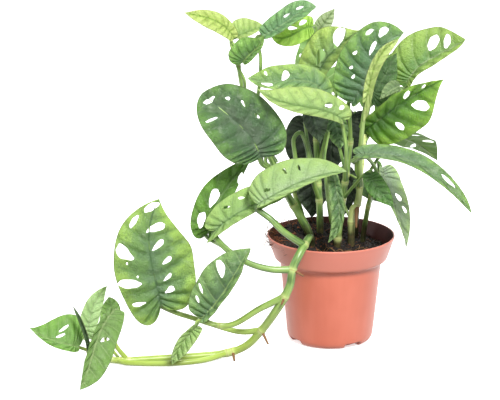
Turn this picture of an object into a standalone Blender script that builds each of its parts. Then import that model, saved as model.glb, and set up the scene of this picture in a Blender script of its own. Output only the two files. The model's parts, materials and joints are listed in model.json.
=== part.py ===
"""Swiss-cheese vine (Monstera adansonii) in a nursery pot, metres, +Z up.

The pot stands on z = 0 with the middle of its underside at the origin.  The
viewer in the photo looks along +Y.  One vine climbs out over the rim and
trails down on to the table towards -X.
"""
import math

import bmesh
import bpy
import numpy as np
from mathutils import Vector
from mathutils.geometry import delaunay_2d_cdt

MM = 0.001
GAP = 0.3          # clearance between pieces that only touch, mm
BLADE = 0.8        # blade thickness, mm

for old in list(bpy.data.objects):
    bpy.data.objects.remove(old, do_unlink=True)


# helpers
def unit(v):
    v = np.asarray(v, float)
    return v / max(float(np.linalg.norm(v)), 1e-12)


def bezier(ctrl, t):
    """Points of a cubic Bezier at the parameters t."""
    a, b, c, d = [np.asarray(p, float) for p in ctrl]
    t = np.asarray(t, float)[:, None]
    return (1 - t) ** 3 * a + 3 * (1 - t) ** 2 * t * b + 3 * (1 - t) * t * t * c + t ** 3 * d


def smooth_path(points, step):
    """Catmull-Rom curve through the points, sampled about every step mm."""
    p = [np.asarray(q, float) for q in points]
    p = [2 * p[0] - p[1]] + p + [2 * p[-1] - p[-2]]
    out = []
    for i in range(1, len(p) - 2):
        n = max(1, int(round(np.linalg.norm(p[i + 1] - p[i]) / step)))
        for k in range(n):
            t = k / n
            out.append(0.5 * (2 * p[i] + (p[i + 1] - p[i - 1]) * t
                              + (2 * p[i - 1] - 5 * p[i] + 4 * p[i + 1] - p[i + 2]) * t * t
                              + (3 * p[i] - p[i - 1] - 3 * p[i + 1] + p[i + 2]) * t ** 3))
    out.append(p[-2])
    return np.array(out)


def paint(obj, rgba, rough=0.5):
    mat = bpy.data.materials.new(obj.name + "_mat")
    mat.use_nodes = True
    shader = mat.node_tree.nodes["Principled BSDF"]
    shader.inputs["Base Color"].default_value = rgba
    shader.inputs["Roughness"].default_value = rough
    obj.data.materials.clear()
    obj.data.materials.append(mat)


def add_object(name, mesh):
    obj = bpy.data.objects.new(name, mesh)
    bpy.context.scene.collection.objects.link(obj)
    return obj


def apply_modifiers(obj):
    bpy.context.view_layer.update()
    graph = bpy.context.evaluated_depsgraph_get()
    mesh = bpy.data.meshes.new_from_object(obj.evaluated_get(graph))
    obj.modifiers.clear()
    obj.data = mesh


def weld(obj):
    """Triangles only, with near-double points merged and flat leftovers of a cut dropped."""
    bm = bmesh.new()
    bm.from_mesh(obj.data)
    bmesh.ops.remove_doubles(bm, verts=bm.verts, dist=3e-6)
    bmesh.ops.triangulate(bm, faces=bm.faces)
    seen = {}
    for face in bm.faces:
        seen.setdefault(frozenset(v.index for v in face.verts), []).append(face)
    flat = [f for group in seen.values() if len(group) > 1 for f in group]
    bmesh.ops.delete(bm, geom=flat, context="FACES")
    bm.to_mesh(obj.data)
    bm.free()


def shade_smooth(obj):
    for poly in obj.data.polygons:
        poly.use_smooth = True


# leaves
# One entry per leaf, in millimetres and degrees:
#   base and tip of the midrib, the way the face looks, full width,
#   width factors (left, right of the midrib), arch and side bends of the
#   midrib, fold and curl of the (left, right) half, lobe depth (left, right),
#   fullness of the tip, place of the widest part, and the holes as
#   (along / length, across / half width, length, width, angle).
LEAVES = {
    "leaf_left_large": dict(
        base=(-159, -60, 53), tip=(-160, -46, 150), up=(0.10, -0.97, 0.20), width=90, wl=0.79, wr=0.88,
        arch=(7, 8), side=(-6, -20), fold=(12, 6), curl=(-8, -16), lobe=(0.17, 0.09), tipw=0.19, wx=0.40,
        holes=[(0.91, -0.06, 16, 6.5, 42), (0.73, 0.12, 19, 7.5, 60), (0.56, 0.18, 15, 5.2, 46),
               (0.40, 0.32, 11, 4.8, 56), (0.24, 0.26, 10, 3.3, 58), (0.12, 0.24, 10, 5.4, 70),
               (0.76, -0.34, 12, 4.4, 30), (0.52, -0.52, 18, 9, 128), (0.27, -0.52, 22, 8, 106),
               (0.06, -0.44, 13, 4.5, 92), (0.44, -0.50, 2.6, 2.2, 0), (0.31, -0.34, 2.6, 2.2, 0)]),
    "leaf_left_rear": dict(
        base=(-67, -48, 190), tip=(-120, -36, 247), up=(0.05, -0.96, 0.28), width=74, wl=0.86, wr=0.90,
        arch=(0, 20), side=(12, 0), fold=(22, 20), curl=(-14, -16), lobe=(0.03, 0.02), tipw=0.42, wx=0.33,
        holes=[(0.86, -0.02, 13, 4.6, 100), (0.72, 0.32, 4.5, 2.8, 145), (0.56, 0.47, 7.5, 2.2, 20),
               (0.39, 0.48, 6, 2.2, 178), (0.70, -0.36, 15, 2.0, 112)]),
    "leaf_left_mid": dict(
        base=(-115, -45, 120), tip=(-72, -12, 185), up=(0.10, -0.95, 0.28), width=44, wl=0.88, wr=0.50,
        arch=(6, 6), side=(-12, -4), fold=(6, 20), curl=(-20, -20), lobe=(0.11, 0.12), tipw=0.04, wx=0.25,
        holes=[(0.33, -0.24, 17, 8, 174), (0.08, -0.38, 14, 7, 177), (0.67, 0.22, 12, 4, 158)]),
    "leaf_centre_low": dict(
        base=(-69, -75, 153), tip=(11, -62, 180), up=(-0.04, -0.84, 0.54), width=42, wl=1.30, wr=0.28,
        arch=(8, 2), side=(-3, -9), fold=(4, 18), curl=(-17, -25), lobe=(0.04, 0.03), tipw=0.22, wx=0.32,
        holes=[(0.15, -0.34, 6.5, 3.3, 20), (0.54, -0.62, 7.5, 2.2, 90), (0.40, -0.72, 8, 2.2, 88)]),
    "leaf_centre_lower": dict(
        base=(-107, -64, 126), tip=(-31, -48, 159), up=(-0.07, -0.86, 0.50), width=38, wl=1.0, wr=0.46,
        arch=(7, 6), side=(-8, -3), fold=(10, 30), curl=(-15, -20), lobe=(0.08, 0.17), tipw=0.09, wx=0.40,
        holes=[(0.22, -0.54, 6.5, 2.2, 20), (0.39, -0.58, 6, 2.2, 20)]),
    "leaf_trail_upright": dict(
        base=(-120, -85, 48), tip=(-76, -80, 113), up=(-0.19, -0.96, 0.20), width=50, wl=1.08, wr=0.42,
        arch=(3, 6), side=(6, 2), fold=(7, 58), curl=(-10, 0), lobe=(0.05, 0.04), tipw=0.32, wx=0.41,
        holes=[(0.62, -0.55, 17, 7.5, 137), (0.27, -0.76, 11, 3, 125), (0.13, -0.60, 8, 3, 121)]),
    "leaf_trail_narrow": dict(
        base=(-125, -91, 42), tip=(-148, -91, 5), up=(0.24, -0.96, -0.14), width=23, wl=0.80, wr=0.90,
        arch=(0, 0), side=(4, 4), fold=(45, 45), curl=(-20, -20), lobe=(0.06, 0.12), tipw=0.24, wx=0.40,
        holes=[]),
    "leaf_young_left": dict(
        base=(-92, -2, 292), tip=(-136, -20, 318), up=(0.10, -0.85, 0.52), width=22, wl=1.0, wr=0.75,
        arch=(3, 4), side=(11, 2), fold=(20, 18), curl=(-19, -20), lobe=(0.0, 0.0), tipw=0.22, wx=0.42,
        holes=[]),
    "leaf_young_right": dict(
        base=(-89, 2, 292), tip=(-64, 18, 299), up=(0.31, -0.72, 0.62), width=26, wl=1.15, wr=0.40,
        arch=(1, 1), side=(0, 1), fold=(20, 25), curl=(-20, -20), lobe=(0.02, 0.0), tipw=0.22, wx=0.28,
        holes=[]),
    "leaf_dark_small": dict(
        base=(-83, -24, 273), tip=(-64, -14, 296), up=(0.40, -0.91, 0.12), width=32, wl=1.15, wr=0.35,
        arch=(3, 3), side=(-2, 5), fold=(10, 55), curl=(-20, -20), lobe=(0.18, 0.03), tipw=0.12, wx=0.25,
        holes=[]),
    "leaf_top_left": dict(
        base=(-65, -6, 294), tip=(-16, 0, 320), up=(-0.02, -0.97, 0.23), width=30, wl=0.86, wr=0.62,
        arch=(2, 6), side=(3, -5), fold=(6, 58), curl=(-20, -12), lobe=(0.02, 0.0), tipw=0.46, wx=0.47,
        holes=[(0.75, -0.30, 7.5, 2.5, 9), (0.51, -0.34, 6.5, 2.2, 5)]),
    "leaf_top_behind": dict(
        base=(-19, 35, 295), tip=(-57, 29, 288), up=(0.10, -0.96, 0.26), width=33, wl=0.68, wr=0.74,
        arch=(4, 3), side=(3, -13), fold=(10, 10), curl=(-18, -18), lobe=(0.05, 0.05), tipw=0.24, wx=0.31,
        holes=[(0.42, 0.34, 9, 3.4, 30), (0.18, 0.34, 7, 4, 165)]),
    "leaf_top_pale": dict(
        base=(-10, 70, 286), tip=(4, 70, 306), up=(0.10, -0.97, 0.20), width=17, wl=1.0, wr=0.85,
        arch=(2, 2), side=(0, 0), fold=(20, 20), curl=(-20, -20), lobe=(0.08, 0.08), tipw=0.15, wx=0.30,
        holes=[]),
    "leaf_top_middle": dict(
        base=(-15, 17, 247), tip=(26, 14, 296), up=(-0.20, -0.96, 0.20), width=48, wl=1.03, wr=0.50,
        arch=(5, 7), side=(-10, -5), fold=(7, 40), curl=(-20, -18), lobe=(0.13, 0.02), tipw=0.05, wx=0.47,
        holes=[(0.68, -0.25, 21, 9.4, 145), (0.33, -0.25, 15, 7.4, 165)]),
    "leaf_mid_left": dict(
        base=(-6, -12, 240), tip=(-79, -27, 259), up=(0.05, -0.90, 0.43), width=34, wl=0.48, wr=0.92,
        arch=(10, 6), side=(19, -7), fold=(14, 10), curl=(-20, -22), lobe=(0.0, 0.02), tipw=0.44, wx=0.45,
        holes=[(0.56, 0.26, 10.5, 6.2, 122), (0.79, 0.44, 4.8, 2.9, 60), (0.78, -0.16, 11, 3.2, 7)]),
    "leaf_mid_pale": dict(
        base=(7, -42, 224), tip=(-70, -56, 255), up=(0.15, -0.87, 0.47), width=34, wl=0.45, wr=1.10,
        arch=(7, 7), side=(6, -14), fold=(10, 10), curl=(-20, -20), lobe=(0.03, 0.08), tipw=0.19, wx=0.40,
        holes=[(0.20, 0.34, 8, 4.8, 150), (0.06, 0.52, 6, 3.6, 120)]),
    "leaf_right_top": dict(
        base=(71, 20, 245), tip=(123, 10, 288), up=(-0.20, -0.96, 0.20), width=60, wl=1.0, wr=0.32,
        arch=(4, -4), side=(-12, 1), fold=(4, 50), curl=(-22, -10), lobe=(0.06, 0.02), tipw=0.44, wx=0.30,
        holes=[(0.58, -0.40, 16, 9, 144), (0.76, -0.24, 14, 6.5, 130)]),
    "leaf_right_mid": dict(
        base=(31, -6, 206), tip=(101, -22, 257), up=(-0.05, -0.99, -0.08), width=62, wl=0.42, wr=1.05,
        arch=(12, 14), side=(-4, -9), fold=(24, 4), curl=(-11, -20), lobe=(0.0, 0.0), tipw=0.09, wx=0.46,
        holes=[(0.65, 0.36, 17, 10, 40), (0.60, -0.18, 9, 4.6, 150), (0.78, -0.12, 4.4, 2.8, 160),
               (0.33, 0.52, 11, 6, 94)]),
    "leaf_right_long": dict(
        base=(21, -64, 196), tip=(122, -88, 148), up=(0.06, -0.72, 0.69), width=24, wl=0.92, wr=0.45,
        arch=(16, 14), side=(-20, -14), fold=(16, 16), curl=(-22, -22), lobe=(0.04, 0.04), tipw=0.44, wx=0.26,
        holes=[(0.71, -0.32, 17, 3.2, 2)]),
    "leaf_right_green": dict(
        base=(34, -38, 172), tip=(56, -43, 139), up=(-0.12, -0.99, 0.07), width=22, wl=0.90, wr=0.85,
        arch=(2, 2), side=(6, -2), fold=(10, 20), curl=(-20, -20), lobe=(0.04, 0.04), tipw=0.05, wx=0.35,
        holes=[]),
    "leaf_right_grey": dict(
        base=(46, -20, 172), tip=(69, -28, 96), up=(0.25, -0.94, 0.23), width=30, wl=0.98, wr=0.35,
        arch=(3, 4), side=(4, -7), fold=(14, 20), curl=(-20, -20), lobe=(0.03, 0.0), tipw=0.08, wx=0.28,
        holes=[(0.38, -0.40, 9, 3.4, 165), (0.54, -0.46, 8, 2.6, 172)]),
    "leaf_right_under": dict(
        base=(26, 14, 152), tip=(50, 6, 131), up=(0.05, -0.98, 0.20), width=20, wl=0.9, wr=0.9,
        arch=(2, 2), side=(0, 0), fold=(15, 15), curl=(-20, -20), lobe=(0.08, 0.08), tipw=0.10, wx=0.30,
        holes=[]),
    "leaf_centre_hang": dict(
        base=(0, -44, 173), tip=(-5, -56, 111), up=(0.25, -0.95, 0.20), width=20, wl=0.50, wr=0.95,
        arch=(3, 2), side=(-4, -16), fold=(25, 25), curl=(-20, -20), lobe=(0.02, 0.02), tipw=0.35, wx=0.40,
        holes=[]),
    "leaf_top_right": dict(
        base=(18, 2, 230), tip=(64, -12, 298), up=(0.05, -0.98, -0.05), width=66, wl=0.95, wr=0.24,
        arch=(-3, 8), side=(2, -22), fold=(14, 8), curl=(-16, -16), lobe=(0.03, 0.0), tipw=0.44, wx=0.46,
        holes=[(0.83, -0.34, 9, 7, 160), (0.76, -0.60, 6, 4, 30), (0.66, -0.22, 14, 4, 165),
               (0.56, -0.58, 5, 3.2, 30), (0.40, -0.50, 5, 3, 20), (0.30, -0.34, 5, 2.8, 15)]),
    "leaf_young_sheath": dict(
        base=(28, -46, 242), tip=(56, -55, 300), up=(-0.15, -0.99, 0.0), width=20, wl=0.55, wr=1.05,
        arch=(1, 2), side=(-5, -15), fold=(30, 36), curl=(30, 40), lobe=(0.02, 0.28), tipw=0.38, wx=0.46,
        holes=[]),
    "leaf_right_behind": dict(
        base=(37, 10, 232), tip=(60, 16, 274), up=(0.10, -0.98, 0.16), width=32, wl=1.0, wr=0.9,
        arch=(2, 2), side=(0, 0), fold=(12, 12), curl=(-18, -18), lobe=(0.10, 0.10), tipw=0.10, wx=0.30,
        holes=[]),
    "leaf_small_curl": dict(
        base=(62, -5, 246), tip=(42, -22, 238), up=(0.0, -0.62, 0.78), width=18, wl=0.9, wr=0.9,
        arch=(4, 2), side=(0, 0), fold=(28, 28), curl=(10, 10), lobe=(0.04, 0.04), tipw=0.10, wx=0.35,
        holes=[]),
    "leaf_centre_grey": dict(
        base=(-19, -20, 233), tip=(-12, -27, 197), up=(0.02, -0.99, 0.13), width=27, wl=0.95, wr=0.75,
        arch=(3, 2), side=(4, -1), fold=(10, 10), curl=(-20, -20), lobe=(0.03, 0.03), tipw=0.06, wx=0.38,
        holes=[]),
    "leaf_centre_cup": dict(
        base=(-1, -3, 221), tip=(7, -12, 188), up=(0.05, -0.98, 0.18), width=26, wl=0.9, wr=0.9,
        arch=(-3, -3), side=(-2, -2), fold=(12, 12), curl=(30, 30), lobe=(0.03, 0.03), tipw=0.17, wx=0.42,
        holes=[]),
    "leaf_end_front": dict(
        base=(-200, -86, 56), tip=(-227, -152, 4), up=(0.05, -0.62, 0.78), width=44, wl=0.84, wr=0.26,
        arch=(4, 3), side=(9, -2), fold=(8, 36), curl=(-12, -5), lobe=(0.03, 0.0), tipw=0.42, wx=0.45,
        holes=[(0.40, -0.30, 9, 4.6, 50)]),
    "leaf_end_left": dict(
        base=(-235, -77, 17), tip=(-280, -72, 34), up=(0.09, -0.90, 0.43), width=42, wl=0.30, wr=1.40,
        arch=(6, 4), side=(-3, -5), fold=(10, 2), curl=(-18, -16), lobe=(0.0, 0.07), tipw=0.04, wx=0.28,
        holes=[(0.36, 0.62, 12, 2.8, 130), (0.38, 0.28, 10, 2.5, 143)]),
    "leaf_end_spear": dict(
        base=(-225, -84, 16), tip=(-239, -76, 57), up=(0.2, -0.98, 0.1), width=9, wl=0.9, wr=0.9,
        arch=(0, 0), side=(4, 2), fold=(40, 40), curl=(50, 50), lobe=(0.0, 0.0), tipw=0.12, wx=0.40,
        holes=[]),
    "leaf_end_up": dict(
        base=(-228, -52, 17), tip=(-210, -40, 64), up=(0.20, -0.96, 0.19), width=22, wl=0.85, wr=0.80,
        arch=(0, 3), side=(-7, -8), fold=(22, 22), curl=(-20, -20), lobe=(0.03, 0.03), tipw=0.23, wx=0.42,
        holes=[]),
    "leaf_end_rear": dict(
        base=(-211, -34, 13), tip=(-210, -24, 48), up=(0.19, -0.95, 0.26), width=22, wl=1.0, wr=0.85,
        arch=(1, 4), side=(2, 5), fold=(18, 18), curl=(-20, -20), lobe=(0.06, 0.06), tipw=0.40, wx=0.44,
        holes=[]),
    # leaves in the shade in the middle, of which the photo shows only dark patches
    "leaf_inner_left": dict(
        base=(-21, 35, 202), tip=(-27, 32, 150), up=(0.05, -0.96, 0.25), width=46, wl=0.9, wr=0.9,
        arch=(4, 5), side=(3, -2), fold=(12, 12), curl=(-16, -16), lobe=(0.10, 0.10), tipw=0.12, wx=0.32,
        holes=[]),
    "leaf_inner_middle": dict(
        base=(3, 42, 209), tip=(0, 37, 153), up=(0.05, -0.96, 0.25), width=46, wl=0.9, wr=0.9,
        arch=(4, 5), side=(3, -2), fold=(12, 12), curl=(-16, -16), lobe=(0.10, 0.10), tipw=0.12, wx=0.32,
        holes=[]),
    "leaf_inner_right": dict(
        base=(22, 37, 210), tip=(22, 35, 161), up=(0.05, -0.96, 0.25), width=34, wl=0.9, wr=0.9,
        arch=(4, 5), side=(3, -2), fold=(12, 12), curl=(-16, -16), lobe=(0.10, 0.10), tipw=0.12, wx=0.32,
        holes=[]),
    "leaf_inner_low": dict(
        base=(-16, 26, 158), tip=(-18, 22, 112), up=(0.05, -0.96, 0.25), width=36, wl=0.9, wr=0.9,
        arch=(4, 5), side=(3, -2), fold=(12, 12), curl=(-16, -16), lobe=(0.10, 0.10), tipw=0.12, wx=0.32,
        holes=[]),
    "leaf_inner_lower_right": dict(
        base=(10, 32, 157), tip=(11, 26, 111), up=(0.05, -0.96, 0.25), width=38, wl=0.9, wr=0.9,
        arch=(4, 5), side=(3, -2), fold=(12, 12), curl=(-16, -16), lobe=(0.10, 0.10), tipw=0.12, wx=0.32,
        holes=[]),
    # leaves round the back, which the photo doesn't show
    "leaf_back_high": dict(
        base=(2, 70, 226), tip=(-22, 96, 288), up=(-0.10, 0.93, -0.35), width=58, wl=0.9, wr=0.9,
        arch=(5, 6), side=(3, -3), fold=(8, 8), curl=(-18, -18), lobe=(0.12, 0.12), tipw=0.12, wx=0.32,
        holes=[(0.30, 0.46, 13, 5, 70), (0.56, 0.42, 12, 5, 60), (0.36, -0.46, 13, 5, 110),
               (0.62, -0.40, 11, 4.6, 120)]),
    "leaf_back_left": dict(
        base=(-58, 58, 168), tip=(-112, 92, 196), up=(-0.30, 0.60, 0.74), width=56, wl=0.9, wr=0.9,
        arch=(6, 8), side=(0, 0), fold=(8, 8), curl=(-18, -18), lobe=(0.12, 0.12), tipw=0.12, wx=0.32,
        holes=[(0.30, 0.46, 13, 5, 70), (0.56, 0.42, 12, 5, 60), (0.36, -0.46, 13, 5, 110),
               (0.62, -0.40, 11, 4.6, 120)]),
    "leaf_back_right": dict(
        base=(60, 52, 186), tip=(108, 88, 152), up=(0.45, 0.70, 0.55), width=54, wl=0.9, wr=0.9,
        arch=(8, 8), side=(0, 0), fold=(8, 8), curl=(-18, -18), lobe=(0.12, 0.12), tipw=0.12, wx=0.32,
        holes=[(0.30, 0.46, 13, 5, 70), (0.56, 0.42, 12, 5, 60), (0.36, -0.46, 13, 5, 110),
               (0.62, -0.40, 11, 4.6, 120)]),
    "leaf_back_low": dict(
        base=(-14, 84, 150), tip=(6, 118, 96), up=(0.10, 0.86, 0.50), width=50, wl=0.9, wr=0.9,
        arch=(6, 6), side=(2, 2), fold=(8, 8), curl=(-18, -18), lobe=(0.12, 0.12), tipw=0.12, wx=0.32,
        holes=[(0.30, 0.46, 12, 5, 70), (0.56, 0.42, 11, 5, 60), (0.36, -0.46, 12, 5, 110)]),
    "leaf_back_upright": dict(
        base=(44, 66, 214), tip=(74, 82, 270), up=(0.45, 0.86, -0.25), width=48, wl=0.9, wr=0.9,
        arch=(4, 6), side=(0, 2), fold=(10, 10), curl=(-18, -18), lobe=(0.12, 0.12), tipw=0.12, wx=0.32,
        holes=[(0.30, 0.46, 12, 5, 70), (0.56, 0.42, 11, 5, 60), (0.36, -0.46, 12, 5, 110)]),
}


def half_outline(length, width, lobe, widest, tip_full, n):
    """Half a blade's edge from the sinus, round the lobe, to the tip."""
    a = bezier([(0, 0), (-0.45 * lobe * length, 0.03 * width), (-lobe * length, 0.09 * width),
                (-lobe * length, 0.21 * width)], np.linspace(0, 1, n[0] + 1))
    b = bezier([(-lobe * length, 0.21 * width), (-lobe * length, 0.40 * width),
                ((widest - 0.22) * length, 0.5 * width), (widest * length, 0.5 * width)],
               np.linspace(0, 1, n[1] + 1))
    c = bezier([(widest * length, 0.5 * width), ((widest + 0.30) * length, 0.5 * width),
                (0.86 * length, tip_full * width), (length, 0)], np.linspace(0, 1, n[2] + 1))
    return np.concatenate([a, b[1:], c[1:]])


def hole_ring(x, y, length, width, angle, n):
    """A drop-shaped hole with its long axis at the angle, n points."""
    d = np.array([math.cos(math.radians(angle)), math.sin(math.radians(angle))])
    q = np.array([-d[1], d[0]])
    a = np.linspace(0, 2 * math.pi, n, endpoint=False)
    r = (np.cos(a) * length / 2)[:, None] * d + (np.sin(a) * (1 + 0.2 * np.cos(a)) * width / 2)[:, None] * q
    return np.array([x, y]) + r


class Leaf:
    """A blade drawn flat as (along, across) and bent along its midrib."""

    def __init__(self, spec):
        self.s = spec
        self.base = np.array(spec["base"], float)
        self.tip = np.array(spec["tip"], float)
        chord = self.tip - self.base
        along = unit(chord)
        up = np.array(spec["up"], float)
        self.normal = unit(up - (up @ along) * along)
        self.across = np.cross(along, self.normal)
        arch, side = spec["arch"], spec["side"]
        self.ctrl = [self.base,
                     self.base + chord * 0.33 + self.normal * arch[0] + self.across * side[0],
                     self.base + chord * 0.67 + self.normal * arch[1] + self.across * side[1],
                     self.tip]
        self.t = np.linspace(0, 1, 120)
        p = bezier(self.ctrl, self.t)
        self.arc = np.concatenate([[0], np.cumsum(np.linalg.norm(np.diff(p, axis=0), axis=1))])
        self.length = self.arc[-1]

    def frame(self, x):
        u = np.interp(np.clip(x, 0, self.length), self.arc, self.t)
        p = bezier(self.ctrl, u)
        a, b, c, d = self.ctrl
        uu = u[:, None]
        tan = 3 * (1 - uu) ** 2 * (b - a) + 6 * (1 - uu) * uu * (c - b) + 3 * uu * uu * (d - c)
        tan /= np.linalg.norm(tan, axis=1)[:, None]
        p = p + np.minimum(x, 0)[:, None] * tan
        s = self.across - (tan @ self.across)[:, None] * tan
        s /= np.linalg.norm(s, axis=1)[:, None]
        return p, tan, s, np.cross(s, tan)

    def place(self, flat):
        """Flat points to space: each half turns up by its fold, then bends by its curl."""
        flat = np.atleast_2d(np.asarray(flat, float))
        p, tan, s, n = self.frame(flat[:, 0])
        y = flat[:, 1]
        fold = np.radians(np.where(y >= 0, self.s["fold"][1], self.s["fold"][0]))
        curl = np.radians(np.where(y >= 0, self.s["curl"][1], self.s["curl"][0])) / (self.s["width"] / 2)
        curl = np.where(np.abs(curl) < 1e-6, 1e-6, curl)
        r = np.abs(y)
        out = (np.sin(fold + curl * r) - np.sin(fold)) / curl
        lift = (np.cos(fold) - np.cos(fold + curl * r)) / curl
        return p + (np.sign(y) * out)[:, None] * s + lift[:, None] * n

    def edge(self, n):
        s = self.s
        right = half_outline(self.length, s["width"], s["lobe"][1], s["wx"], s["tipw"], n)
        left = half_outline(self.length, s["width"], s["lobe"][0], s["wx"], s["tipw"], n)
        right = right * np.array([1, s["wr"]])
        left = left * np.array([1, -s["wl"]])
        return np.concatenate([right, left[::-1][1:-1]])

    def holes(self, n):
        return [hole_ring(h[0] * self.length, h[1] * self.s["width"] / 2, h[2], h[3], h[4], n)
                for h in self.s["holes"]]

    def foot(self, radius):
        """Centre of the petiole's end, just under the blade's base."""
        p, tan, s, n = self.frame(np.array([1.2]))
        return p[0] - n[0] * (radius + BLADE / 2 + GAP)

    def arrive(self):
        """Unit direction in which the petiole reaches the blade."""
        p, tan, s, n = self.frame(np.array([1.0]))
        return unit(tan[0] * 0.75 + n[0] * 0.65)


def inside(p, ring):
    x, y = p
    odd = False
    for (x0, y0), (x1, y1) in zip(ring, np.roll(ring, -1, axis=0)):
        if (y0 > y) != (y1 > y) and x < (x1 - x0) * (y - y0) / (y1 - y0) + x0:
            odd = not odd
    return odd


def clear_of(p, ring):
    a = ring
    d = np.roll(ring, -1, axis=0) - a
    t = np.clip(((p - a) * d).sum(1) / np.maximum((d ** 2).sum(1), 1e-9), 0, 1)
    return float(np.linalg.norm(a + t[:, None] * d - p, axis=1).min())


def blade(name, spec):
    """The flat outline with its holes is triangulated, bent and thickened."""
    leaf = Leaf(spec)
    size = leaf.length * spec["width"]
    n = (2, 4, 6) if size > 2200 else ((2, 3, 4) if size > 700 else (1, 2, 4))
    rings = [leaf.edge(n)] + leaf.holes(8 if size > 5000 else 7)
    count = max(3, int(leaf.length / 11))
    extra = []
    for i in range(1, count):
        x = leaf.length * i / count
        for f in (0.0, -0.5, 0.5):
            half = spec["width"] / 2 * (spec["wr"] if f > 0 else spec["wl"])
            p = np.array([x, f * half])
            if not inside(p, rings[0]) or clear_of(p, rings[0]) < 2.2:
                continue
            if any(inside(p, r) or clear_of(p, r) < 1.6 for r in rings[1:]):
                continue
            extra.append(p)
    points = [Vector((float(p[0]), float(p[1]))) for r in rings for p in r]
    edges = []
    start = 0
    for r in rings:
        edges += [(start + i, start + (i + 1) % len(r)) for i in range(len(r))]
        start += len(r)
    points += [Vector((float(p[0]), float(p[1]))) for p in extra]
    verts, _, faces, _, _, _ = delaunay_2d_cdt(points, edges, [], 0, 1e-5)
    flat = np.array([(v.x, v.y) for v in verts])
    keep = []
    for f in faces:
        c = flat[list(f)].mean(axis=0)
        if inside(c, rings[0]) and not any(inside(c, r) for r in rings[1:]):
            keep.append(tuple(f))
    used = sorted({i for f in keep for i in f})
    index = {v: k for k, v in enumerate(used)}
    co = leaf.place(flat[used]) * MM
    mesh = bpy.data.meshes.new(name)
    mesh.from_pydata([tuple(c) for c in co], [], [tuple(index[i] for i in f) for f in keep])
    obj = add_object(name, mesh)
    solid = obj.modifiers.new("thick", "SOLIDIFY")
    solid.thickness = BLADE * MM
    solid.offset = 0
    apply_modifiers(obj)
    bm = bmesh.new()
    bm.from_mesh(obj.data)
    bmesh.ops.triangulate(bm, faces=bm.faces)
    bmesh.ops.recalc_face_normals(bm, faces=bm.faces)
    bm.to_mesh(obj.data)
    bm.free()
    shade_smooth(obj)
    return leaf


MADE = {}
for leaf_name, leaf_spec in LEAVES.items():
    MADE[leaf_name] = blade(leaf_name, leaf_spec)
    paint(bpy.data.objects[leaf_name], (0.12, 0.30, 0.07, 1), 0.45)


# vines
def tube(points, radii, collection):
    """A round rod along the points, with capped ends."""
    curve = bpy.data.curves.new("rod", "CURVE")
    curve.dimensions = "3D"
    curve.bevel_depth = MM
    curve.bevel_resolution = 2
    curve.use_fill_caps = True
    line = curve.splines.new("POLY")
    line.points.add(len(points) - 1)
    for i, p in enumerate(points):
        line.points[i].co = (p[0] * MM, p[1] * MM, p[2] * MM, 1)
        line.points[i].radius = radii[i]
    source = bpy.data.objects.new("rod_curve", curve)
    bpy.context.scene.collection.objects.link(source)
    bpy.context.view_layer.update()
    mesh = bpy.data.meshes.new_from_object(source.evaluated_get(bpy.context.evaluated_depsgraph_get()))
    bpy.data.objects.remove(source, do_unlink=True)
    bm = bmesh.new()
    bm.from_mesh(mesh)
    bmesh.ops.remove_doubles(bm, verts=bm.verts, dist=1e-6)
    bmesh.ops.recalc_face_normals(bm, faces=bm.faces)
    bm.to_mesh(mesh)
    bm.free()
    obj = bpy.data.objects.new("rod", mesh)
    collection.objects.link(obj)
    return obj


def petiole(leaf_name, start, via, radius):
    """Points of a leaf stalk from a vine to the underside of the blade's base."""
    leaf = MADE[leaf_name]
    end = leaf.foot(radius * 0.7)
    way = [np.array(start, float)] + [np.array(v, float) for v in via]
    reach = min(16.0, 0.45 * float(np.linalg.norm(end - way[-1])))
    way += [end - leaf.arrive() * reach, end]
    return smooth_path(way, 15.0)


def nearest(point, axes):
    """Closest point to this one on any of the rods made so far."""
    best = None
    for axis in axes:
        a = axis[:-1]
        d = np.diff(axis, axis=0)
        t = np.clip(((point - a) * d).sum(1) / (d ** 2).sum(1), 0, 1)
        q = a + t[:, None] * d
        gap = np.linalg.norm(q - point, axis=1)
        k = int(gap.argmin())
        if best is None or gap[k] < best[0]:
            best = (gap[k], q[k])
    return best[1]


def vine(name, stem, stem_radii, stalks, spurs):
    """One vine: its main stem, its leaf stalks and its short spurs in one solid."""
    parts = bpy.data.collections.new(name + "_parts")
    bpy.context.scene.collection.children.link(parts)
    pts = smooth_path(stem, 15.0)
    where = np.linspace(0, 1, len(pts))
    radii = np.interp(where, np.linspace(0, 1, len(stem_radii)), stem_radii)
    base = tube(pts, radii, bpy.context.scene.collection)
    base.name = name
    axes = [pts]
    for leaf_name, start, via, radius in stalks:
        p = petiole(leaf_name, nearest(np.array(start, float), axes), via, radius)
        axes.append(p)
        share = np.linspace(0, 1, len(p))
        tube(p, np.interp(share, [0, 0.25, 1], [radius * 1.2, radius, radius * 0.85]), parts)
    for way, r0, r1 in spurs:
        p = smooth_path([nearest(np.array(way[0], float), axes)] + list(way[1:]), 15.0)
        axes.append(p)
        tube(p, np.linspace(r0, r1, len(p)), parts)
    if len(parts.objects):
        join = base.modifiers.new("join", "BOOLEAN")
        join.operation = "UNION"
        join.operand_type = "COLLECTION"
        join.collection = parts
        join.solver = "MANIFOLD"
        apply_modifiers(base)
    for obj in list(parts.objects):
        bpy.data.objects.remove(obj, do_unlink=True)
    bpy.data.collections.remove(parts)
    weld(base)
    shade_smooth(base)
    paint(base, (0.32, 0.47, 0.15, 1), 0.4)
    return base


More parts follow.
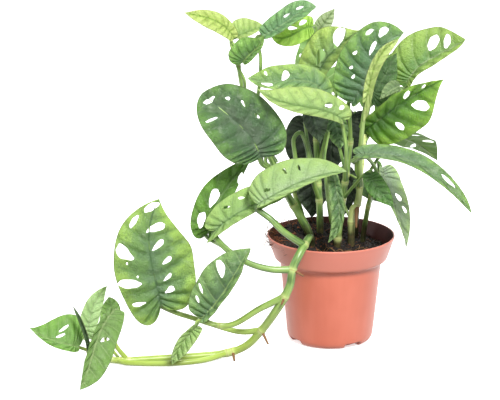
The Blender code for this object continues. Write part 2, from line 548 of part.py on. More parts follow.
# name, main stem points, radii from foot to end, stalks (leaf, start, via, radius), spurs (points, radii)
VINES = [
    ("vine_trailing",
     [(-18, -28, 74), (-19, -29, 98), (-21, -36, 110), (-27, -62, 110), (-33, -72, 102), (-38, -75, 91),
      (-40, -77, 78), (-45, -78, 66), (-54, -76, 50), (-66, -68, 30), (-80, -62, 13), (-98, -60, 5),
      (-125, -65, 3.6), (-160, -71, 3.6), (-196, -77, 3.8), (-212, -76, 6)],
     [3.2, 3.4, 3.9, 3.9, 3.7, 3.5, 3.4, 3.3, 2.8],
     [("leaf_centre_low", (-27, -62, 110), [(-46, -72, 126), (-58, -72, 138)], 2.9),
      ("leaf_centre_lower", (-38, -75, 91), [(-58, -77, 92), (-78, -74, 97), (-96, -66, 106)], 2.8),
      ("leaf_left_mid", (-90, -69, 104), [(-100, -58, 107)], 2.0),
      ("leaf_trail_upright", (-45, -78, 66), [(-68, -80, 55), (-90, -80, 41), (-106, -80, 39)], 2.7),
      ("leaf_trail_narrow", (-104, -80, 40), [(-114, -82, 41)], 1.5),
      ("leaf_left_large", (-66, -68, 30),
       [(-87, -60, 26), (-113, -56, 32), (-129, -54, 37), (-146, -52, 42)], 2.4),
      ("leaf_end_front", (-190, -76, 4), [(-201, -76, 20), (-203, -78, 40)], 1.9),
      ("leaf_end_left", (-205, -76, 5), [(-222, -72, 10)], 1.7),
      ("leaf_end_spear", (-206, -77, 5), [(-216, -82, 8)], 1.3),
      ("leaf_end_up", (-205, -75, 5), [(-216, -58, 9)], 1.4),
      ("leaf_end_rear", (-196, -76, 4), [(-206, -50, 5)], 1.4)],
     [([(-98, -60, 5), (-120, -75, 3.4), (-150, -83, 3.2), (-186, -82, 3.2), (-198, -78, 3.8)], 2.7, 2.5),
      ([(-66, -68, 30), (-60, -78, 20)], 1.5, 0.9),
      ([(-92, -61, 6), (-91, -73, 2.4)], 1.5, 1.0),
      ([(-45, -78, 66), (-48, -88, 62)], 1.4, 0.8),
      ([(-38, -75, 91), (-28, -82, 87)], 1.6, 0.8)]),
    ("vine_left",
     [(-19, -8, 76), (-20, -9, 102), (-31, -12, 126), (-42, -8, 144), (-56, 0, 174), (-71, 3, 204),
      (-81, 2, 232), (-86, -1, 256), (-88, -1, 272)],
     [3.9, 3.9, 3.7, 3.2, 2.8, 2.4, 2.0, 1.9],
     [("leaf_left_rear", (-36, -10, 134), [(-46, -22, 154), (-58, -33, 174)], 2.5),
      ("leaf_young_left", (-86, -1, 268), [], 1.3),
      ("leaf_young_right", (-85, -1, 264), [(-86, 4, 276)], 1.3),
      ("leaf_dark_small", (-76, -1, 236), [(-82, -12, 254)], 1.4),
      ("leaf_top_left", (-64, 1, 212), [(-68, 6, 246), (-67, 6, 272)], 1.6)],
     []),
    ("vine_middle",
     [(-10, 12, 76), (-10, 12, 112), (-12, 12, 150), (-14, 18, 186), (-15, 22, 214)],
     [3.4, 3.3, 2.9, 2.4],
     [("leaf_mid_left", (-12, 13, 160), [(-4, 15, 198), (2, 9, 226)], 1.9),
      ("leaf_centre_grey", (-12, 12, 148), [(-22, 4, 190), (-26, -8, 222)], 1.5),
      ("leaf_top_behind", (-15, 22, 212), [(-12, 38, 240), (-12, 46, 268)], 1.5),
      ("leaf_top_middle", (-14, 19, 190), [(-22, 30, 222)], 1.8),
      ("leaf_top_pale", (-15, 22, 210), [(-20, 52, 236), (-18, 66, 264)], 1.3)],
     [([(-11, 12, 132), (-20, -2, 164), (-23, -5, 186), (-29, -9, 203), (-36, -9, 197), (-34, -8, 176),
        (-33, -8, 162)], 2.3, 1.9)]),
    ("vine_front",
     [(5, -12, 72), (6, -13, 104), (10, -12, 140), (14, -10, 170), (17, -8, 198)],
     [3.7, 3.6, 3.3, 3.0, 2.6],
     [("leaf_mid_pale", (12, -11, 156), [(12, -26, 190)], 2.0),
      ("leaf_centre_hang", (8, -12, 126), [(6, -28, 156), (2, -36, 172)], 1.4),
      ("leaf_centre_cup", (13, -11, 164), [(4, -2, 198), (-2, 4, 216)], 1.5),
      ("leaf_top_right", (17, -8, 194), [(16, -2, 216)], 1.9),
      ("leaf_right_green", (10, -12, 140), [(20, -22, 156), (28, -30, 168)], 1.5)],
     [([(5, -12, 102), (-1, -21, 126), (-5, -25, 152), (-8, -27, 182), (-4, -29, 209)], 2.9, 1.0)]),
    ("vine_right",
     [(19, -2, 72), (19, -4, 100), (19, -6, 120), (20, -7, 129), (25, -8, 137), (27, -6, 168), (30, 0, 200)],
     [3.3, 3.3, 3.4, 3.2, 2.9, 2.6, 2.3],
     [("leaf_right_mid", (28, -5, 172), [(29, 3, 190)], 1.9),
      ("leaf_young_sheath", (26, -7, 150), [(25, -22, 180), (26, -36, 216)], 2.2),
      ("leaf_right_top", (30, 0, 196), [(45, 14, 212), (60, 22, 230)], 1.9),
      ("leaf_right_behind", (30, 0, 198), [(34, 14, 214)], 1.5),
      ("leaf_small_curl", (30, 0, 190), [(46, 2, 216), (60, 6, 240)], 1.1),
      ("leaf_right_under", (19, -6, 116), [(10, 8, 138), (14, 24, 154)], 1.2)],
     [([(24, -8, 135), (23, -13, 124), (23, -15, 113)], 2.4, 0.9)]),
    ("vine_far_right",
     [(29, 8, 72), (31, 7, 98), (34, 1, 124), (38, -7, 150)],
     [2.8, 2.6, 2.4, 2.1],
     [("leaf_right_long", (37, -5, 144), [(41, -20, 167), (30, -42, 188)], 1.8),
      ("leaf_right_grey", (35, -1, 130), [(44, -4, 156)], 1.5)],
     []),
    ("vine_back",
     [(8, 34, 76), (8, 38, 112), (4, 46, 150), (2, 52, 184)],
     [3.4, 3.2, 2.8, 2.4],
     [("leaf_back_high", (2, 51, 178), [(2, 58, 202)], 1.8),
      ("leaf_back_upright", (4, 46, 152), [(18, 52, 180), (34, 58, 198)], 1.7),
      ("leaf_back_low", (8, 38, 114), [(-2, 56, 142)], 1.7),
      ("leaf_inner_left", (2, 51, 176), [(-12, 54, 206)], 1.5),
      ("leaf_inner_middle", (2, 51, 180), [(6, 56, 206)], 1.5),
      ("leaf_inner_low", (6, 41, 132), [(-12, 36, 160)], 1.5),
      ("leaf_inner_lower_right", (8, 38, 116), [(13, 37, 140), (14, 37, 158)], 1.5)],
     []),
    ("vine_back_side",
     [(-24, 28, 78), (-26, 32, 108), (-34, 40, 134)],
     [3.0, 2.8, 2.4],
     [("leaf_back_left", (-33, 39, 130), [(-44, 46, 152)], 1.7)],
     []),
    ("vine_back_right",
     [(24, 26, 78), (25, 29, 108), (26, 36, 150), (24, 42, 190)],
     [3.2, 3.0, 2.7, 2.3],
     [("leaf_inner_right", (24, 41, 184), [(24, 46, 208)], 1.5),
      ("leaf_back_right", (25, 30, 116), [(34, 36, 146)], 1.6)],
     []),
]
for entry in VINES:
    vine(*entry)


# pot and soil
def ring_solid(name, profile, steps):
    """A closed profile in the XZ plane turned round Z."""
    mesh = bpy.data.meshes.new(name)
    edges = [(i, i + 1) for i in range(len(profile) - 1)]
    mesh.from_pydata([(r * MM, 0, z * MM) for r, z in profile], edges, [])
    obj = add_object(name, mesh)
    turn = obj.modifiers.new("turn", "SCREW")
    turn.steps = steps
    turn.render_steps = steps
    turn.use_merge_vertices = True
    turn.merge_threshold = 0.0001
    turn.use_normal_calculate = True
    apply_modifiers(obj)
    return obj


STEPS = 36
POT = [(0, 1.6), (24, 1.6), (27, 7.0), (37.0, 7.0), (39.8, 10.0), (46.6, 79.0), (52.4, 83.2), (58.4, 101.6),
       (58.9, 103.0), (60.4, 103.0), (60.4, 101.2), (59.6, 98.6), (54.0, 82.4), (53.0, 80.8), (47.9, 77.6),
       (41.0, 7.0), (39.8, 3.2), (37.0, 0.6), (34.5, 0.0), (0, 0)]
pot = ring_solid("pot", POT, STEPS)
cutters = bpy.data.collections.new("cutters")
bpy.context.scene.collection.children.link(cutters)


def cutter_box(name, centre, size, angle):
    bm = bmesh.new()
    bmesh.ops.create_cube(bm, size=1)
    bm_mesh = bpy.data.meshes.new(name)
    for v in bm.verts:
        x, y, z = v.co.x * size[0], v.co.y * size[1], v.co.z * size[2]
        x += centre[0]
        c, s = math.cos(angle), math.sin(angle)
        v.co = ((x * c - y * s) * MM, (x * s + y * c) * MM, (z + centre[2]) * MM)
    bm.to_mesh(bm_mesh)
    bm.free()
    obj = bpy.data.objects.new(name, bm_mesh)
    cutters.objects.link(obj)
    obj.hide_render = True
    obj.display_type = "WIRE"


def cutter_rod(name, x, y, z0, z1, radius, sides):
    bm = bmesh.new()
    bmesh.ops.create_cone(bm, cap_ends=True, segments=sides, radius1=radius * MM, radius2=radius * MM,
                          depth=(z1 - z0) * MM)
    for v in bm.verts:
        v.co.x += x * MM
        v.co.y += y * MM
        v.co.z += (z0 + z1) / 2 * MM
    bm_mesh = bpy.data.meshes.new(name)
    bm.to_mesh(bm_mesh)
    bm.free()
    obj = bpy.data.objects.new(name, bm_mesh)
    cutters.objects.link(obj)
    obj.hide_render = True
    obj.display_type = "WIRE"


def cut(obj):
    """Take the cutters out of the object, then remove them."""
    mod = obj.modifiers.new("cut", "BOOLEAN")
    mod.operation = "DIFFERENCE"
    mod.operand_type = "COLLECTION"
    mod.collection = cutters
    mod.solver = "MANIFOLD"
    apply_modifiers(obj)
    for c in list(cutters.objects):
        bpy.data.objects.remove(c, do_unlink=True)
    weld(obj)
    shade_smooth(obj)


for i in range(4):
    turn_by = math.radians(-58 + 90 * i)
    cutter_box("notch", (38.0, 0, 1.2), (15.0, 17.0, 8.4), turn_by)
cut(pot)
for i in range(4):
    a = math.radians(-58 + 90 * i)
    cutter_rod("drain", 33.4 * math.cos(a), 33.4 * math.sin(a), 2.0, 9.0, 2.4, 10)
cut(pot)
paint(pot, (0.62, 0.22, 0.13, 1), 0.4)


def heap(x, y):
    """Height of the soil: low on the right, heaped up at the left and the back left."""
    r = math.hypot(x, y)
    left = max(0.0, min(1.0, 0.5 - (x - 0.35 * y) / 75.0))
    edge = max(0.0, (r - 40.0) / 16.0)
    bumps = 1.3 * math.sin(0.23 * x + 0.9) * math.cos(0.19 * y - 0.4)
    return 90.0 + 17.0 * left ** 1.3 - (3.0 + 4.0 * left) * edge + bumps


def wall(z):
    """Inside radius of the pot at a height."""
    inner = [(39.8, 10.0), (46.6, 79.0), (52.4, 83.2), (58.4, 101.6), (58.9, 103.0)]
    return float(np.interp(z, [p[1] for p in inner], [p[0] for p in inner]))


def soil_body():
    """Rings up the inside of the pot, then rings in over the heaped top."""
    n = STEPS
    verts = []
    levels = [(35.6, 7.5), (39.3, 10.6), (46.1, 79.2), (50.6, 83.0)]
    for r, z in levels:
        for i in range(n):
            a = 2 * math.pi * i / n
            verts.append((r * math.cos(a), r * math.sin(a), z))
    for i in range(n):
        a = 2 * math.pi * i / n
        z = heap(54 * math.cos(a), 54 * math.sin(a))
        r = wall(min(z, 102.0)) * 0.9965 - 0.75
        z = min(heap(r * math.cos(a), r * math.sin(a)), 101.0)
        r = wall(z) * 0.9965 - 0.75
        verts.append((r * math.cos(a), r * math.sin(a), z))
    for f in (0.86, 0.66, 0.44, 0.22):
        for i in range(n):
            a = 2 * math.pi * i / n
            r = 55.0 * f
            x, y = r * math.cos(a), r * math.sin(a)
            verts.append((x, y, heap(x, y)))
    rings = len(verts) // n
    faces = []
    for k in range(rings - 1):
        for i in range(n):
            j = (i + 1) % n
            faces.append((k * n + i, k * n + j, (k + 1) * n + j, (k + 1) * n + i))
    verts.append((0, 0, heap(0, 0)))
    top = len(verts) - 1
    verts.append((0, 0, 5.5))
    low = len(verts) - 1
    for i in range(n):
        j = (i + 1) % n
        faces.append(((rings - 1) * n + i, (rings - 1) * n + j, top))
        faces.append((j, i, low))
    mesh = bpy.data.meshes.new("soil")
    mesh.from_pydata([tuple(c * MM for c in v) for v in verts], [], faces)
    obj = add_object("soil", mesh)
    bm = bmesh.new()
    bm.from_mesh(mesh)
    bmesh.ops.triangulate(bm, faces=bm.faces)
    bmesh.ops.recalc_face_normals(bm, faces=bm.faces)
    bm.to_mesh(mesh)
    bm.free()
    return obj


soil = soil_body()


def sleeve(points, radius):
    """A cutter a clearance wider than a vine's foot, along its buried length and out of the soil."""
    curve = tube(points, [radius] * len(points), cutters)
    curve.hide_render = True
    curve.display_type = "WIRE"


for name, stem, stem_radii, stalks, spurs in VINES:
    path = smooth_path(stem, 15.0)
    first = path[1] - path[0]
    start = path[0] - unit(first) * GAP
    keep = [start]
    for p in path[1:]:
        keep.append(p)
        if p[2] > heap(p[0], p[1]) + 14:
            break
    sleeve(np.array(keep), max(stem_radii[:3]) * 1.0 + GAP + 0.08)
cut(soil)
paint(soil, (0.035, 0.022, 0.015, 1), 0.95)

total = sum(len(o.data.loop_triangles) or sum(len(p.vertices) - 2 for p in o.data.polygons)
            for o in bpy.data.objects if o.type == "MESH")
print("objects", len(bpy.data.objects), "triangles", total)
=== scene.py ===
# %% [markdown]
# # A swiss-cheese vine in its nursery pot
#
# The plant's solids come in as a fixed frame: plain blades, plain round vines, a turned pot and a body of
# soil.  Each step below replaces some of them with a finer piece of the same form and place.  Lengths are
# written in millimetres and turned into metres where a mesh is made.

import json
import math

import bpy
import numpy as np
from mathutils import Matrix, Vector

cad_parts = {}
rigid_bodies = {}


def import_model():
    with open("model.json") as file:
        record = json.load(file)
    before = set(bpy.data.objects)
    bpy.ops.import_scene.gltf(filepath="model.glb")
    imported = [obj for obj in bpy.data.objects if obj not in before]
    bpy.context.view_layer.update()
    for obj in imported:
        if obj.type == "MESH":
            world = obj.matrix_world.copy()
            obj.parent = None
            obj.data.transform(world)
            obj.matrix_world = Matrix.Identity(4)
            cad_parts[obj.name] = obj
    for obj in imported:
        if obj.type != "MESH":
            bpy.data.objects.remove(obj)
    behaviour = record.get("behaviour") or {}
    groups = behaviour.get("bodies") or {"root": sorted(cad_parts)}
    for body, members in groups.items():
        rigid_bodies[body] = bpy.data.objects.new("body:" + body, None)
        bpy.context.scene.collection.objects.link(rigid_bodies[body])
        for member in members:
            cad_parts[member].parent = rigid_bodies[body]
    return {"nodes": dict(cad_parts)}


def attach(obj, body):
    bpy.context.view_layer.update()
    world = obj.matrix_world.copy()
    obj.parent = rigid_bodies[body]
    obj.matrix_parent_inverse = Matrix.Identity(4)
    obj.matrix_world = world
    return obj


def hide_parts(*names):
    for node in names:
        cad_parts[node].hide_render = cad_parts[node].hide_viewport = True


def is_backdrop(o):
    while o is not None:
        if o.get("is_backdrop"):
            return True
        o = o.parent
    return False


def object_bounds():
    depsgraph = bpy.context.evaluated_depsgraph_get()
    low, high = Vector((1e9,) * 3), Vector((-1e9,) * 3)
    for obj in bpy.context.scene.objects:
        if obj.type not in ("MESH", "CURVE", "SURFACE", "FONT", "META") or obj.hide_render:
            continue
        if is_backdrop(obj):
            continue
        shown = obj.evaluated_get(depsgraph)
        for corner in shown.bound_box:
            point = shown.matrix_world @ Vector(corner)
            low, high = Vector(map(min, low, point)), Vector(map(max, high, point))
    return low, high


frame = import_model()
cad_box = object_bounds()
MM = 0.001
print(len(frame["nodes"]), "solids in a box from", [round(v, 3) for v in cad_box[0]],
      "to", [round(v, 3) for v in cad_box[1]])

# %% [markdown]
# ## Shader maths as expressions
#
# A finish is a sum of simple masks: how far a point is from the midrib, which side vein is near, how blotchy
# the green is.  Written node by node that is hard to read, so a wire is wrapped in a small class on which
# plus, minus and times add the Math nodes themselves.

# %% Wires and finishes
class Wire:
    """The output of a node, on which ordinary maths adds Math nodes."""

    def __init__(self, finish, socket):
        self.finish = finish
        self.socket = socket

    def math(self, operation, *others):
        values = dict(enumerate((self,) + others))
        return self.finish.add("Math", {"operation": operation}, values)

    def __add__(self, other):
        return self.math("ADD", other)

    def __mul__(self, other):
        return self.math("MULTIPLY", other)

    def __sub__(self, other):
        return self.math("SUBTRACT", other)

    def __rsub__(self, other):
        return self.finish.add("Math", {"operation": "SUBTRACT"}, {0: other, 1: self})

    __radd__ = __add__
    __rmul__ = __mul__

    def size(self):
        return self.math("ABSOLUTE")

    def rise(self, low, high):
        """0 below low, 1 above high, with a soft step between; low above high turns it round."""
        turned = low > high
        ends = {"From Min": min(low, high), "From Max": max(low, high)}
        out = self.finish.add("MapRange", {"interpolation_type": "SMOOTHSTEP"}, {"Value": self, **ends})
        return 1 - out if turned else out

    def part(self, axis):
        """One number of a vector."""
        return self.finish.add("SeparateXYZ", {}, {0: self}, "XYZ".index(axis))

    def scaled(self, x, y, z):
        return self.finish.add("VectorMath", {"operation": "MULTIPLY"}, {0: self, 1: (x, y, z)})

    def from_whole(self):
        """How far a number is from the nearest whole one."""
        return ((self + 0.5).math("FRACT") - 0.5).size()


class Finish:
    """A material that is built up from wires."""

    def __init__(self, name):
        self.material = bpy.data.materials.new(name)
        self.material.use_nodes = True
        self.tree = self.material.node_tree
        self.tree.nodes.clear()

    def add(self, kind, settings, sockets, out=0):
        """A node of a type with its settings, and values or wires for its sockets."""
        node = self.tree.nodes.new("ShaderNode" + kind)
        for key, value in settings.items():
            setattr(node, key, value)
        for key, value in sockets.items():
            if isinstance(value, Wire):
                self.tree.links.new(value.socket, node.inputs[key])
            else:
                node.inputs[key].default_value = value
        return Wire(self, node.outputs[out]) if node.outputs else None

    def own(self, attribute):
        """A vector that the mesh carries at each point."""
        return self.add("Attribute", {"attribute_name": attribute}, {}, 1)

    def object(self):
        return self.add("TexCoord", {}, {}, 3)

    def noise(self, where, scale, detail=3.0):
        return self.add("TexNoise", {}, {"Vector": where, "Scale": scale, "Detail": detail})

    def mix(self, share, first, second):
        """A colour between two others."""
        return self.add("Mix", {"data_type": "RGBA"}, {0: share, 6: first, 7: second}, 2)

    def bump(self, height, strength, distance):
        return self.add("Bump", {}, {"Height": height, "Strength": strength, "Distance": distance})

    def skin(self, colour, roughness, **more):
        sockets = {"Base Color": colour, "Roughness": roughness}
        sockets.update({key.replace("_", " "): value for key, value in more.items()})
        return self.add("BsdfPrincipled", {}, sockets)

    def lit_through(self, skin, colour, normal, glow):
        """Part of the light goes through: glow is that part, and colour what colour it takes."""
        through = self.add("BsdfTranslucent", {}, {"Color": colour, "Normal": normal})
        return self.add("MixShader", {}, {0: glow, 1: skin, 2: through})

    def done(self, shader):
        self.add("OutputMaterial", {}, {0: shader})
        return self.material


def tint(red, green, blue, alpha=1.0):
    """A screen colour from 0 to 255 as the linear colour that a shader takes."""
    c = np.array([red, green, blue]) / 255.0
    linear = np.where(c <= 0.04045, c / 12.92, ((c + 0.055) / 1.055) ** 2.4)
    return (*[float(v) for v in linear], alpha)


print("a mid leaf green is", [round(v, 3) for v in tint(95, 150, 70)])

# %% [markdown]
# ## Meshes from arrays
#
# Every new piece is worked out as whole numpy arrays: points, faces, and vectors that each point carries
# for its finish.  This cell turns them into an object that rides on the plant and hides the solid that it
# stands for.

# %% Put an array surface into the scene
def piece(name, points, faces, carried, finishes, slot, replaced):
    """An object from points in mm.  carried: a vector for each point by name.  replaced: the solid that it
    stands for, or None."""
    mesh = bpy.data.meshes.new(name)
    mesh.from_pydata((np.asarray(points) * MM).tolist(), [], faces)
    for key, values in carried.items():
        layer = mesh.attributes.new(key, "FLOAT_VECTOR", "POINT")
        layer.data.foreach_set("vector", np.ascontiguousarray(values, np.float32).ravel())
    mesh.polygons.foreach_set("use_smooth", [True] * len(mesh.polygons))
    for finish in finishes:
        mesh.materials.append(finish)
    mesh.validate()
    obj = bpy.data.objects.new(name, mesh)
    bpy.context.scene.collection.objects.link(obj)
    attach(obj, "root")
    if replaced:
        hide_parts(replaced)
    return obj


def ring_faces(rows, sides, flip=False):
    """Faces between rows of rings, closed at each end on one more point: the first and the second point that
    follow all the rings.  flip turns every face round."""
    n = np.arange(rows * sides).reshape(rows, sides)
    nxt = np.roll(n, -1, axis=1)
    first, last = np.full(sides, n.size), np.full(sides, n.size + 1)
    faces = np.stack([n[:-1], n[1:], nxt[1:], nxt[:-1]], -1).reshape(-1, 4).tolist()
    faces += np.stack([first, n[0], nxt[0]], -1).tolist() + np.stack([n[-1], last, nxt[-1]], -1).tolist()
    return [tuple(f[:1] + f[:0:-1]) if flip else tuple(f) for f in faces]


def gathered(parts):
    """Several arrays of points, faces and carried vectors as one."""
    points, faces, carried, start = [], [], {}, 0
    for p, f, c in parts:
        points.append(p)
        faces += [tuple(n + start for n in face) for face in f]
        for key, values in c.items():
            carried.setdefault(key, []).append(values)
        start += len(p)
    return np.concatenate(points), faces, {key: np.concatenate(v) for key, v in carried.items()}


def unit(v):
    """The same vectors with a length of 1."""
    v = np.asarray(v, float)
    return v / np.maximum(np.linalg.norm(v, axis=-1, keepdims=True), 1e-9)


def turns(sides):
    """The angle of every point of a ring."""
    return np.arange(sides) * 2 * math.pi / sides


def ringed(x, y, z, first, last):
    """The points of all the rings as one list, and then the heights on the axis that close them."""
    return np.concatenate([np.stack([x, y, z], -1).reshape(-1, 3), [[0, 0, first], [0, 0, last]]])


def lengths(path):
    """Distance along a path at each of its points."""
    return np.concatenate([[0], np.cumsum(np.linalg.norm(np.diff(path, axis=0), axis=1))])


def bezier(ctrl, t):
    """Cubic curve: (1-t)^3 a + 3(1-t)^2 t b + 3(1-t) t^2 c + t^3 d at every t of an array."""
    a, b, c, d = [np.asarray(p, float) for p in ctrl]
    t = np.asarray(t, float)[..., None]
    return (1 - t) ** 3 * a + 3 * (1 - t) ** 2 * t * b + 3 * (1 - t) * t * t * c + t ** 3 * d


def lumps(x, y, wave, seed, count=14):
    """Uneven ground: the mean of plane waves of about one length in random directions, made large enough to
    reach about -1 and 1."""
    rng = np.random.default_rng(seed)
    turn = rng.uniform(0, 2 * math.pi, count)
    rate = 2 * math.pi / (wave * rng.uniform(0.7, 1.4, count))
    shift = rng.uniform(0, 2 * math.pi, count)
    x = np.asarray(x, float)[..., None]
    y = np.asarray(y, float)[..., None]
    return np.cos(x * rate * np.cos(turn) + y * rate * np.sin(turn) + shift).mean(axis=-1) * 2.2


# %% [markdown]
# ## The leaves
#
# A real blade grows flat and then bends: the midrib arches, each half lifts from it at its own angle and
# curls on towards its margin.  A hand-modelled mesh would have to be sculpted leaf by leaf, so each blade
# is described here by a few measures instead: the two ends of its midrib, where its face looks, its width,
# its bends, and its holes.  The holes are given as (place along, place across, length, width, angle).

# %% The measures of every leaf
def measures(base, tip, up, width, wl=0.9, wr=0.9, arch=(2, 2), side=(0, 0), fold=(10, 10), curl=(-20, -20),
             lobe=(0.03, 0.03), tipw=0.12, wx=0.32, holes=()):
    """One blade, in mm and degrees.  base, tip: the ends of its midrib.  up: where its face looks.  wl, wr:
    what share of half the width its left and right halves have.  arch, side: how far the midrib bows towards
    the face and sideways, at a third and at two thirds.  fold, curl: how far each half lifts off the midrib
    and turns on up to its margin.  lobe: how far each half reaches back past the stalk.  tipw: how full it
    is near the tip.  wx: where along its length it is widest."""
    return dict(locals())


